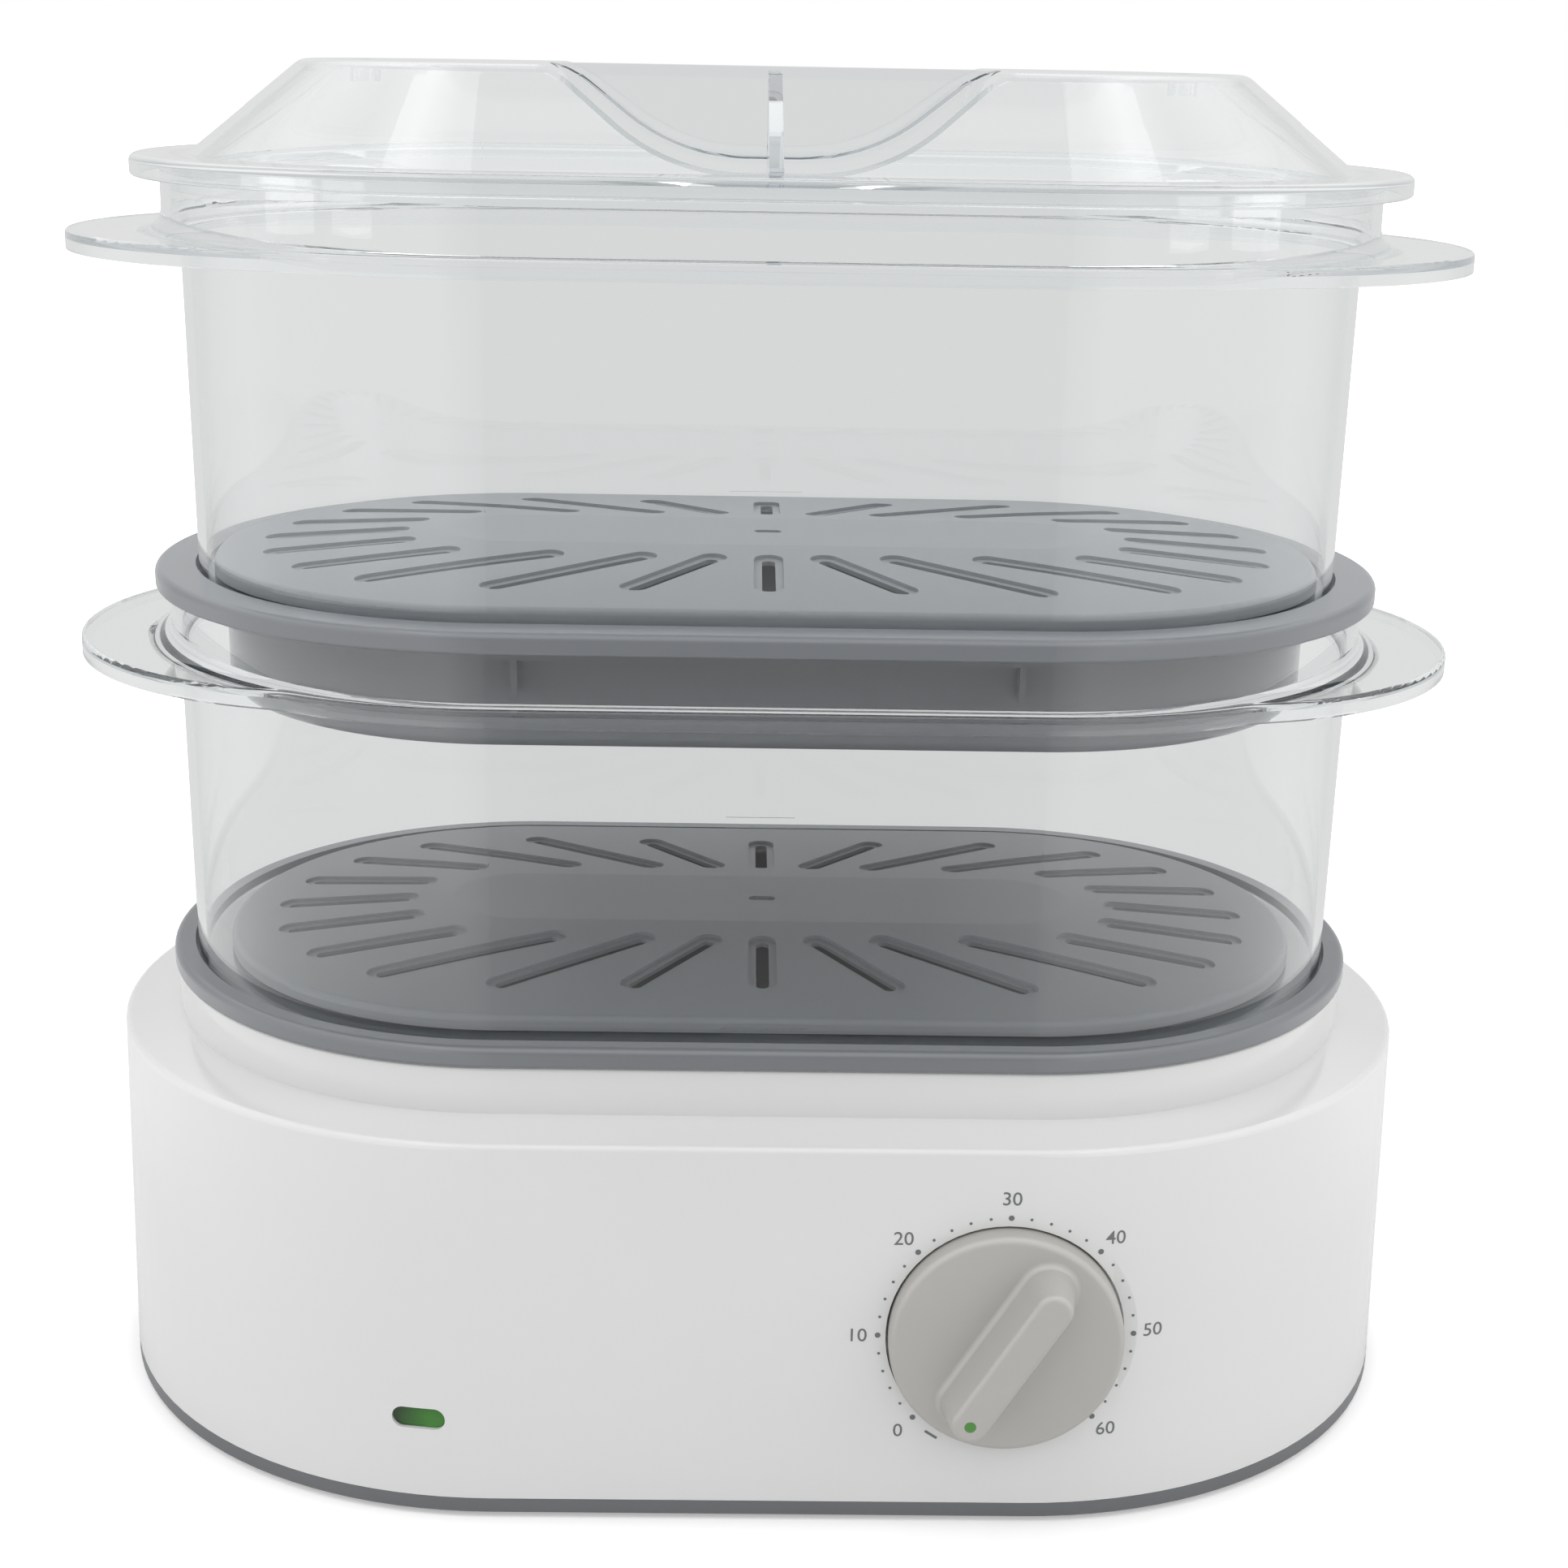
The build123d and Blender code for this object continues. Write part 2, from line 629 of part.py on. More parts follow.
finish(drip_tray(lower_edge, lower_foot_radius), "lower_drip_tray")
finish(drip_tray(upper_edge, upper_foot_radius), "upper_drip_tray")
finish(chimney(lower_edge), "lower_chimney")
finish(chimney(upper_edge), "upper_chimney")


# ---- Baskets ---------------------------------------------------------------------------------------
def brim_outline(ear_reach, brim_radius, inset, height):
    """The brim with its two ears, drawn in by an inset, at a height."""
    with BuildSketch(Plane.XY.offset(height)) as brim:
        with Locations((-(ear_reach - ear_radius), 0), (ear_reach - ear_radius, 0)):
            Circle(ear_radius - inset)
        SlotCenterToCenter(2 * half_straight, 2 * (brim_radius - inset))
        corners = brim.vertices().filter_by(lambda corner: abs(corner.X) > half_straight + 1)
        fillet(corners.filter_by(lambda corner: abs(corner.Y) > 1), ear_blend + inset)
    return brim.sketch


def ear_coves(collar_outer, ear_reach, brim_radius, brim_top):
    """The hollow curves between the collar's round ends and the ears."""
    half_length = 2 * (half_straight + cove_narrower)
    width = 2 * (collar_outer - cove_narrower)
    spread = 2 * (cove_radius + brim_round)
    with BuildPart() as coves:
        with BuildSketch(Plane.XY.offset(brim_top - brim_round)) as shelf:
            SlotCenterToCenter(half_length, width + spread)
        extrude(shelf.sketch, amount=brim_round)
        with BuildSketch(Plane.XY.offset(brim_top)) as wall:
            SlotCenterToCenter(half_length, width)
        extrude(wall.sketch, amount=cove_radius + brim_round)
        corner = level(coves, brim_top).filter_by(
            lambda line: abs(line.position_at(0).Y) < width / 2 + seam
        )
        fillet(corner, cove_radius)
        outline = brim_outline(ear_reach, brim_radius, brim_round, brim_top - brim_round)
        extrude(outline, amount=brim_round + cove_radius, mode=Mode.INTERSECT)
    return coves.part


def basket(edge, foot_radius, brim_radius, collar_outer, ear_reach):
    """A clear bottomless tub: floor ledge, flared wall, brim with two ears, and a collar."""
    foot = edge + moulded_sheet + seat_gap
    brim_top = edge + ear_height
    collar_end = edge + tier_pitch + rim_height - moulded_sheet - seat_gap
    brim_wall_radius = foot_radius + basket_flare
    with BuildPart() as tub:
        slope(foot_radius, foot, brim_wall_radius, brim_top)
        fillet(level(tub, foot), foot_round)
        with BuildSketch(Plane.XY.offset(foot + foot_round)) as foot_pads:
            Rectangle(foot_pad_width, 2 * (foot_radius + foot_pad_stand))
        extrude(foot_pads.sketch, amount=edge + rim_height + foot_pad_rise - foot - foot_round)
        extrude(brim_outline(ear_reach, brim_radius, 0, brim_top - lip_depth), amount=lip_depth)
        fillet(level(tub, brim_top), brim_round)
        with BuildSketch(Plane.XY.offset(brim_top - lip_depth)) as under_brim:
            add(brim_outline(ear_reach, brim_radius, lip_wall, 0))
            SlotCenterToCenter(2 * half_straight, 2 * brim_wall_radius, mode=Mode.SUBTRACT)
        extrude(under_brim.sketch, amount=lip_depth - brim_plate, mode=Mode.SUBTRACT)
        slab(collar_outer, brim_top, collar_end)
        fillet(level(tub, collar_end), basket_wall / 4)
        add(ear_coves(collar_outer, ear_reach, brim_radius, brim_top))
        slope(
            foot_radius - basket_wall,
            foot + moulded_sheet,
            brim_wall_radius - basket_wall,
            brim_top,
            mode=Mode.SUBTRACT,
        )
        slab(collar_outer - basket_wall, brim_top, collar_end, mode=Mode.SUBTRACT)
        slab(foot_opening_radius, foot, foot + moulded_sheet, mode=Mode.SUBTRACT)
    return tub.part


finish(
    basket(lower_edge, lower_foot_radius, lower_brim_radius, lower_collar_radius, lower_ear_reach),
    "lower_basket",
)
finish(
    basket(upper_edge, upper_foot_radius, upper_brim_radius, upper_collar_radius, upper_ear_reach),
    "upper_basket",
)


# ---- Plates ----------------------------------------------------------------------------------------
def outline_point(half_length, radius, station):
    """The point of a stadium that is a given way along its outline from the middle of its side."""
    if station <= half_length:
        return station, radius
    turn = (station - half_length) / radius
    return half_length + radius * sin(turn), radius * cos(turn)


def slot_ends():
    """Inner and outer end of each slot, fanned over all four quarters."""
    ends = [((half_straight + slot_inner_radius, 0), (slot_outer_half + slot_outer_radius, 0))]
    for inner_station, outer_station in zip(slot_inner_stations, slot_outer_stations):
        inner = outline_point(half_straight, slot_inner_radius, inner_station)
        outer = outline_point(slot_outer_half, slot_outer_radius, outer_station)
        ends.append((inner, outer))
    fan = set()
    for (inner_x, inner_y), (outer_x, outer_y) in ends:
        for side in (-1, 1):
            for front in (-1, 1):
                fan.add((side * inner_x, front * inner_y, side * outer_x, front * outer_y))
    return sorted(fan)


def slots(height, width, inset, amount, mode):
    """All the steam slots of a plate as upright prisms, drawn in at their ends by an inset."""
    with BuildSketch(Plane.XY.offset(height)) as fan:
        for inner_x, inner_y, outer_x, outer_y in slot_ends():
            run = Vector(outer_x - inner_x, outer_y - inner_y)
            with Locations(((inner_x + outer_x) / 2, (inner_y + outer_y) / 2)):
                SlotOverall(run.length - 2 * inset, width, rotation=degrees(atan2(run.Y, run.X)))
    extrude(fan.sketch, amount=amount, mode=mode)


def plate(edge):
    """A grey crowned plate with a rolled rim and fanned steam slots in shallow dishes."""
    rim_bottom = edge + 2 * moulded_sheet + 2 * seat_gap
    rim_top = rim_bottom + plate_rim_height
    crown_top = rim_top + plate_crown
    shoulder = plate_radius - plate_round
    with BuildPart() as dishes:
        slots(rim_bottom, dish_width, 0, plate_rim_height + 2 * plate_crown, Mode.ADD)
        slope(shoulder, rim_top - dish_depth, crown_radius, crown_top - dish_depth, mode=Mode.SUBTRACT)
        slab(plate_radius, rim_bottom, rim_top - dish_depth, mode=Mode.SUBTRACT)
    with BuildPart() as sheet:
        slab(plate_radius, rim_bottom, rim_top)
        fillet(level(sheet, rim_top), plate_round - seam)
        slope(shoulder, rim_top, crown_radius, crown_top)
        slab(plate_radius - plate_sheet, rim_bottom, rim_top - plate_sheet, mode=Mode.SUBTRACT)
        slope(shoulder, rim_top - plate_sheet, crown_radius, crown_top - plate_sheet, mode=Mode.SUBTRACT)
        add(dishes.part, mode=Mode.SUBTRACT)
        slots(rim_bottom, slot_width, slot_inset, plate_rim_height + plate_crown, Mode.SUBTRACT)
        with BuildSketch(Plane.XY.offset(crown_top)) as dimple:
            SlotOverall(dimple_length, dimple_width)
        extrude(dimple.sketch, amount=-dimple_depth, mode=Mode.SUBTRACT)
    return sheet.part


finish(plate(lower_edge), "lower_plate")
finish(plate(upper_edge), "upper_plate")

# ---- Lid: clear dome with a finger scoop front and back and a grip between them ---------------------
scoop_floor = lid_top - scoop_depth
flank_angle = radians(scoop_flank)
flank_low_x = scoop_flat_half + scoop_floor_radius * sin(flank_angle)
flank_low_z = scoop_floor + scoop_floor_radius * (1 - cos(flank_angle))
lip_z = lid_top + scoop_lip_stand
flank_high_z = lip_z - scoop_lip_radius * (1 - cos(flank_angle))
flank_high_x = flank_low_x + (flank_high_z - flank_low_z) / tan(flank_angle)
lip_x = flank_high_x + scoop_lip_radius * sin(flank_angle)
scoop_top = lid_top + scoop_clear
lid_locating_radius = upper_collar_radius - basket_wall - loose_gap / 2


def scoop(grow_by, web, mode):
    """Both scoops, cut outwards from the grip; grow_by thickens them for the hollow inside."""
    with BuildSketch(Plane.XZ) as bell:
        with BuildLine():
            Line((0, scoop_floor), (scoop_flat_half, scoop_floor))
            RadiusArc((scoop_flat_half, scoop_floor), (flank_low_x, flank_low_z), -scoop_floor_radius)
            Line((flank_low_x, flank_low_z), (flank_high_x, flank_high_z))
            RadiusArc((flank_high_x, flank_high_z), (lip_x, lip_z), scoop_lip_radius)
            Polyline((lip_x, lip_z), (lip_x, scoop_top), (0, scoop_top))
            mirror(about=Plane.YZ)
        make_face()
        if grow_by > 0:
            offset(amount=grow_by, kind=Kind.INTERSECTION)
    for way in (-1, 1):
        start = bell.sketch.moved(Location((0, way * web, 0)))
        extrude(start, amount=lid_rim_radius, dir=(0, way, 0), mode=mode)


with BuildPart() as lid_hollow:
    slope(dome_foot_radius, lid_edge + rim_height - dome_drop, dome_top_radius, lid_top - dome_drop)
    slab(dome_foot_radius, lid_edge - locating_depth, lid_edge + rim_height - dome_drop)
    scoop(moulded_sheet, web_half - moulded_sheet, Mode.SUBTRACT)

with BuildPart() as lid:
    slab(lid_rim_radius, lid_edge, lid_edge + rim_height)
    fillet(level(lid, lid_edge + rim_height), rim_round)
    fillet(level(lid, lid_edge), rim_wall / 2)
    slope(dome_foot_radius, lid_edge + rim_height, dome_top_radius, lid_top)
    fillet(level(lid, lid_top), dome_round)
    band(lid_rim_radius - rim_wall, dome_foot_radius, lid_edge, lid_edge + rim_height - moulded_sheet,
         mode=Mode.SUBTRACT)
    band(lid_locating_radius, lid_locating_radius - moulded_sheet, lid_edge - locating_depth,
         lid_edge + rim_height - moulded_sheet)
    scoop(0, web_half, Mode.SUBTRACT)
    with BuildSketch(Plane.YZ) as rib:
        with BuildLine():
            for way in (-1, 1):
                Polyline(
                    (0, scoop_floor - moulded_sheet / 2),
                    (way * (dome_foot_radius - moulded_sheet), scoop_floor - moulded_sheet / 2),
                    (way * (dome_foot_radius - 2 * moulded_sheet), scoop_floor + moulded_sheet / 2),
                    (way * web_half, lid_top - rib_drop),
                    (0, lid_top - rib_drop),
                )
        make_face()
    extrude(rib.sketch, amount=rib_width / 2, both=True)
    add(lid_hollow.part, mode=Mode.SUBTRACT)
    with BuildSketch(Plane.XY.offset(lid_top - dome_drop - vent_nozzle_length)) as nozzles:
        with Locations((-vent_place, 0), (vent_place, 0)):
            Circle(vent_nozzle_radius)
    extrude(nozzles.sketch, amount=vent_nozzle_length + dome_drop / 2)
    with BuildSketch(Plane.XY.offset(lid_top - dome_drop - vent_nozzle_length)) as vents:
        with Locations((-vent_place, 0), (vent_place, 0)):
            Circle(vent_radius)
    extrude(vents.sketch, amount=vent_nozzle_length + 2 * dome_drop, mode=Mode.SUBTRACT)
finish(lid.part, "lid")

# ---- Timer: case behind the front wall, with its bell, screws, shaft and knob -----------------------
case_front_y = pad_back_y + seam
case_back_y = case_front_y + timer_depth
shaft_end_y = case_front_y + shaft_engagement
timer_pins = [
    (knob_x + way * timer_pin_place, case_front_y + timer_depth / 2 + way * timer_pin_stagger)
    for way in (-1, 1)
]
with BuildPart() as timer_case:
    with BuildSketch(facing_front(case_back_y)) as case_outline:
        RectangleRounded(timer_width, timer_width, timer_corner)
    extrude(case_outline.sketch, amount=timer_depth)
    with BuildSketch(Plane.XY.offset(knob_z - timer_width / 2 - timer_pin_length)) as blades:
        with Locations(*timer_pins):
            Rectangle(timer_pin_size, timer_pin_size)
    extrude(blades.sketch, amount=timer_pin_length)
    with BuildSketch(facing_front(case_front_y)) as case_holes:
        Circle(shaft_radius + running_gap)
        with Locations((-timer_screw_place, 0), (timer_screw_place, 0)):
            Circle(screw_radius + screw_hole_gap)
    extrude(case_holes.sketch, amount=-shaft_engagement - seam, mode=Mode.SUBTRACT)
finish(timer_case.part, "timer_case")

with BuildPart() as timer_bell:
    with BuildSketch(facing_front(case_back_y + seam)) as gong:
        Circle(bell_radius)
    extrude(gong.sketch, amount=-bell_depth)
    fillet(timer_bell.faces().sort_by(Axis.Y)[-1].edges(), bell_depth / 2)
    with BuildSketch(facing_front(case_back_y + seam)) as gong_inside:
        Circle(bell_radius - bell_sheet)
        Circle(2 * bell_sheet, mode=Mode.SUBTRACT)
    extrude(gong_inside.sketch, amount=-bell_depth / 2, mode=Mode.SUBTRACT)
finish(timer_bell.part, "timer_bell")

with BuildPart() as timer_screws:
    for way in (-1, 1):
        screw_spot = (knob_x + way * timer_screw_place, dial_floor_y + screw_head_height, knob_z)
        screw(Plane(origin=screw_spot, z_dir=(0, 1, 0)), shaft_engagement - screw_head_height)
finish(timer_screws.part, "timer_screws")

with BuildPart() as timer_shaft:
    with BuildSketch(facing_front(shaft_end_y)) as shaft_section:
        Circle(shaft_radius)
    extrude(shaft_section.sketch, amount=shaft_end_y - knob_face_y - knob_wall)
    chamfer(timer_shaft.edges().group_by(Axis.Y)[-1], shaft_chamfer)
finish(timer_shaft.part, "timer_shaft")

grip_plane = Plane(
    origin=(knob_x, knob_face_y, knob_z),
    x_dir=(-sin(radians(off_angle)), 0, -cos(radians(off_angle))),
    z_dir=(0, -1, 0),
)
with BuildPart() as timer_knob:
    with BuildSketch(facing_front(knob_back_y)) as disc:
        Circle(knob_radius)
    extrude(disc.sketch, amount=knob_disc_thickness)
    fillet(timer_knob.edges().group_by(Axis.Y)[0], knob_edge)
    with BuildSketch(grip_plane) as grip:
        SlotOverall(grip_length, grip_width)
    extrude(grip.sketch, amount=grip_height, taper=grip_draft)
    face_edges = timer_knob.edges().filter_by_position(Axis.Y, knob_face_y - seam, knob_face_y + seam)
    fillet(face_edges.sort_by(SortBy.LENGTH)[:-1], grip_blend)
    fillet(timer_knob.edges().group_by(Axis.Y)[0], grip_round)
    with BuildSketch(facing_front(knob_back_y)) as hollow:
        Circle(knob_radius - knob_wall)
        Circle(knob_hub_radius, mode=Mode.SUBTRACT)
    extrude(hollow.sketch, amount=knob_disc_thickness - knob_wall, mode=Mode.SUBTRACT)
    with BuildSketch(facing_front(knob_back_y)) as hub_bore:
        Circle(shaft_radius + running_gap)
    extrude(hub_bore.sketch, amount=knob_disc_thickness - knob_wall + seam, mode=Mode.SUBTRACT)
    with BuildSketch(grip_plane.offset(grip_height)) as marker_pocket:
        with Locations((marker_place, 0)):
            Circle(marker_radius + running_gap)
    extrude(marker_pocket.sketch, amount=-marker_depth, mode=Mode.SUBTRACT)
finish(timer_knob.part, "timer_knob")

with BuildPart() as knob_marker:
    with BuildSketch(grip_plane.offset(grip_height)) as dot:
        with Locations((marker_place, 0)):
            Circle(marker_radius)
    extrude(dot.sketch, amount=-marker_depth)
finish(knob_marker.part, "knob_marker")

# ---- Indicator: green lens in the front wall, with a lamp in the socket behind it -------------------
flange_back = housing_wall + lens_flange_gap + lens_flange_thickness
with BuildPart() as indicator_lens:
    with BuildSketch(lens_plane.offset(-flange_back)) as lens_body:
        SlotOverall(lens_length - 2 * lens_gap, lens_height - 2 * lens_gap)
    extrude(lens_body.sketch, amount=flange_back - lens_recess)
    with BuildSketch(lens_plane.offset(-flange_back)) as behind:
        SlotOverall(lens_length + 2 * lens_flange, lens_height + 2 * lens_flange)
    extrude(behind.sketch, amount=lens_flange_thickness)
    with BuildSketch(lens_plane.offset(-flange_back)) as socket:
        Circle(lamp_radius + lens_gap + socket_wall)
        Circle(lamp_radius + lens_gap, mode=Mode.SUBTRACT)
    extrude(socket.sketch, amount=-socket_length)
finish(indicator_lens.part, "indicator_lens")

with BuildPart() as indicator_lamp:
    with BuildSketch(lens_plane.offset(-flange_back - lens_gap)) as bulb:
        Circle(lamp_radius)
    extrude(bulb.sketch, amount=-lamp_length)
    fillet(indicator_lamp.faces().sort_by(Axis.Y)[0].edges(), lamp_radius / 3)
finish(indicator_lamp.part, "indicator_lamp")

# ---- Mains entry: gland in the back wall, cord clamp, terminal block and leads ----------------------
with BuildPart() as cable_gland:
    with BuildSketch(facing_back(gland_start)) as neck:
        Circle(gland_neck_radius)
    extrude(neck.sketch, amount=gland_end - gland_start)
    with BuildSketch(facing_back(entry_wall + gland_gap)) as outer_flange:
        Circle(gland_flange_radius)
    extrude(outer_flange.sketch, amount=gland_flange_thickness)
    fillet(cable_gland.faces().sort_by(Axis.Y)[-1].edges(), gland_flange_thickness / 3)
    with BuildSketch(facing_back(gland_start + gland_tail)) as inner_flange:
        Circle(gland_flange_radius)
    extrude(inner_flange.sketch, amount=gland_inner_flange)
    with BuildSketch(facing_back(gland_start)) as cord_bore:
        Circle(cord_bore_radius)
    extrude(cord_bore.sketch, amount=gland_end - gland_start, mode=Mode.SUBTRACT)
finish(cable_gland.part, "cable_gland")

saddle_top = entry_z - cord_bore_radius - cord_clearance
clamp_spots = [(entry_x - clamp_screw_place, clamp_y), (entry_x + clamp_screw_place, clamp_y)]
with BuildPart() as cord_clamp:
    with BuildSketch(Plane.XY.offset(saddle_top + seam)) as bridge:
        with Locations((entry_x, clamp_y)):
            RectangleRounded(clamp_length, clamp_width, clamp_width / 4)
    extrude(bridge.sketch, amount=clamp_height)
    with BuildSketch(facing_back(clamp_y - clamp_width)) as cord_channel:
        Circle(cord_bore_radius + cord_clearance)
        with Locations((0, -cord_bore_radius)):
            Rectangle(2 * (cord_bore_radius + cord_clearance), 2 * cord_bore_radius)
    extrude(cord_channel.sketch, amount=2 * clamp_width, mode=Mode.SUBTRACT)
    with BuildSketch(Plane.XY.offset(saddle_top)) as bridge_holes:
        with Locations(*clamp_spots):
            Circle(screw_radius + screw_hole_gap)
    extrude(bridge_holes.sketch, amount=2 * clamp_height, mode=Mode.SUBTRACT)
finish(cord_clamp.part, "cord_clamp")

with BuildPart() as clamp_screws:
    for x, y in clamp_spots:
        bridge_top = (x, y, saddle_top + seam + clamp_height)
        screw(Plane(origin=bridge_top, z_dir=(0, 0, -1)), 2 * clamp_height - housing_wall)
finish(clamp_screws.part, "clamp_screws")

with BuildPart() as terminal_block:
    with BuildSketch(Plane.XY.offset(cover_top + seam)) as block_outline:
        with Locations((entry_x, block_y)):
            Rectangle(block_length, block_width)
    extrude(block_outline.sketch, amount=block_height)
    chamfer(level(terminal_block, cover_top + seam + block_height), block_chamfer)
    with BuildSketch(Plane.XY.offset(cover_top + seam + block_height)) as screw_wells:
        with Locations((entry_x, block_y)):
            with GridLocations(block_pitch, 0, 3, 1):
                Circle(screw_radius + lead_radius / 2)
    extrude(screw_wells.sketch, amount=-block_height / 2, mode=Mode.SUBTRACT)
finish(terminal_block.part, "terminal_block")


def lead(points, radii):
    """One insulated lead: straight runs joined by arcs."""
    with BuildLine() as route:
        FilletPolyline(*points, radius=radii)
    start = Plane(origin=route.line @ 0, z_dir=route.line % 0)
    with BuildSketch(start) as section:
        Circle(lead_radius)
    sweep(section.sketch, path=route.line)
    print(f"lead: {route.wire().length:.1f} mm long")


block_front = block_y - block_width / 2
with BuildPart() as heater_leads:
    for way, (pin_x, pin_y) in zip((-1, 1), element_ends):
        lead(
            [
                (entry_x + way * block_pitch, block_front - seam, lead_height),
                (entry_x + way * block_pitch, pin_y + 2 * block_pitch, lead_height),
                (pin_x, pin_y + block_pitch, lead_height - lead_radius / 2),
                (pin_x, pin_y, lead_height - lead_radius / 2),
                (pin_x, pin_y, element_pin_bottom - seam),
            ],
            heater_lead_bends,
        )
finish(heater_leads.part, "heater_leads")

block_side = entry_x - block_length / 2
timer_pin_bottom = knob_z - timer_width / 2 - timer_pin_length
with BuildPart() as timer_leads:
    for step, (pin_x, pin_y) in enumerate(timer_pins):
        inset = 2 * timer_pin_stagger * step
        lead(
            [
                (block_side - seam, block_y + block_width / 4 - inset, lead_height),
                (block_side - 3 * block_pitch, block_y + block_width / 4 - inset, lead_height),
                (-well_radius - half_straight + inset, well_radius - inset, lead_height),
                (-well_radius - half_straight + inset, -well_radius, lead_height),
                (-half_straight, pin_y, lead_height),
                (pin_x, pin_y, lead_height),
                (pin_x, pin_y, timer_pin_bottom - seam),
            ],
            timer_lead_bends,
        )
finish(timer_leads.part, "timer_leads")
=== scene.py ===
# %% [markdown]
# # An electric food steamer
# A white base boils a little water under a heater ring. The steam rises through two grey drip trays
# into two clear baskets that stand on them, and a clear lid closes the stack. The solids come ready
# made, in metres, with z up and the middle foot at the origin. This file gives every surface its
# finish, adds the print round the timer, and sets the studio.

# %% Load the solids
import math

import bpy
from mathutils import Matrix, Vector
from mathutils.bvhtree import BVHTree


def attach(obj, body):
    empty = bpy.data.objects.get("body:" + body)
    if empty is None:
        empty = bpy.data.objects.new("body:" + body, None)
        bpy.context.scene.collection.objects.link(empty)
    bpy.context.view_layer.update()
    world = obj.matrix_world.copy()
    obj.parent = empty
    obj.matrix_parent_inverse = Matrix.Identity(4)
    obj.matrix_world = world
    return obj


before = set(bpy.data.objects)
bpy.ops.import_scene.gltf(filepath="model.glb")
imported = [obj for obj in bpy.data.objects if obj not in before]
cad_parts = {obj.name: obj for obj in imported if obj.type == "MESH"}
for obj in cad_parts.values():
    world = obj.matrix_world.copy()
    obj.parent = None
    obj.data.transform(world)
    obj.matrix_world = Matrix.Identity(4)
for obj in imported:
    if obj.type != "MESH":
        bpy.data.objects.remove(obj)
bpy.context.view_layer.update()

# %% [markdown]
# ## Working with nodes
# A material is a small network. It could be wired by hand in the editor, but written out it can be
# read from top to bottom. A few short helpers keep that writing plain: one for a colour, one that
# puts a node down and fills its sockets, one for sums, and two that blend colours or numbers.


# %% Colour and node helpers
def shade(code):
    """Turn a painter's hex code into the linear colour that light adds up in."""
    channels = [int(code[i:i + 2], 16) / 255 for i in (1, 3, 5)]
    linear = [c / 12.92 if c <= 0.04045 else ((c + 0.055) / 1.055) ** 2.4 for c in channels]
    return (*linear, 1.0)


def feed(tree, socket, value):
    """Wire a socket to another node's output, or set it where a plain value is given."""
    if isinstance(value, bpy.types.NodeSocket):
        tree.links.new(value, socket)
    else:
        socket.default_value = value


def put(tree, kind, settings=None, **inputs):
    """Place a shader node, choose its settings and fill its named inputs."""
    node = tree.nodes.new("ShaderNode" + kind)
    for name, value in (settings or {}).items():
        setattr(node, name, value)
    for name, value in inputs.items():
        feed(tree, node.inputs[name.replace("_", " ")], value)
    return node


def sums(tree, operation, *values):
    """One Math node, with its values in order."""
    node = put(tree, "Math", {"operation": operation})
    for socket, value in zip(node.inputs, values):
        feed(tree, socket, value)
    return node.outputs[0]


def remap(tree, value, low, high, to_low=0.0, to_high=1.0):
    """Stretch a value from one range to another, and hold it at the ends."""
    node = put(tree, "MapRange", Value=value, From_Min=low, From_Max=high,
               To_Min=to_low, To_Max=to_high)
    return node.outputs["Result"]


def blended(tree, share, first, second):
    """Mix two colours by a share from 0 to 1. Socket names repeat here, so numbers pick them."""
    node = put(tree, "Mix", {"data_type": "RGBA"})
    for place, value in ((0, share), (6, first), (7, second)):
        feed(tree, node.inputs[place], value)
    return node.outputs[2]


def between(tree, share, first, second):
    """The same for two plain numbers or values."""
    node = put(tree, "Mix", {"data_type": "FLOAT"})
    for place, value in ((0, share), (2, first), (3, second)):
        feed(tree, node.inputs[place], value)
    return node.outputs[0]


print("mid grey as light:", [round(c, 3) for c in shade("#808080")[:3]])

# %% [markdown]
# ## Effects that several finishes share
# Grain, worn and highlighted edges, dust and touch marks turn up on nearly every piece. Each is
# built once as a node group with named inputs, and each finish places it with its own numbers. The
# groups only put out heights, masks and roughness, so the shader itself stays in the material.


# %% Start a group
def new_group(name, inputs, outputs):
    """Make an empty shader group and return its tree, its inputs and its outputs."""
    tree = bpy.data.node_groups.new(name, "ShaderNodeTree")
    for label, value in inputs.items():
        socket = tree.interface.new_socket(label, in_out="INPUT", socket_type="NodeSocketFloat")
        socket.default_value = value
    for label in outputs:
        tree.interface.new_socket(label, in_out="OUTPUT", socket_type="NodeSocketFloat")
    print("group:", name, "| in:", ", ".join(inputs), "| out:", ", ".join(outputs))
    given = tree.nodes.new("NodeGroupInput").outputs
    return tree, given, tree.nodes.new("NodeGroupOutput").inputs


def place_group(tree, group, **inputs):
    """Put a group into a material and fill its inputs."""
    return put(tree, "Group", {"node_tree": group}, **inputs)


def on_surface(tree):
    """Places on the object in metres, from its own origin."""
    return put(tree, "TexCoord").outputs["Object"]


def noise(tree, size, detail=2.0, place=None, distortion=0.0):
    """Noise whose blotches are about size metres across."""
    per_metre = sums(tree, "DIVIDE", 1.0, size)
    node = put(tree, "TexNoise", Vector=place or on_surface(tree), Scale=per_metre, Detail=detail,
               Distortion=distortion)
    return node.outputs[0]


# %% [markdown]
# **Moulded skin.** A moulded surface copies its steel mould: a very fine grain, and over it a slow
# swell where the plastic shrank unevenly. Two noises do both, and the swell also goes out alone,
# to cloud the colour a little.

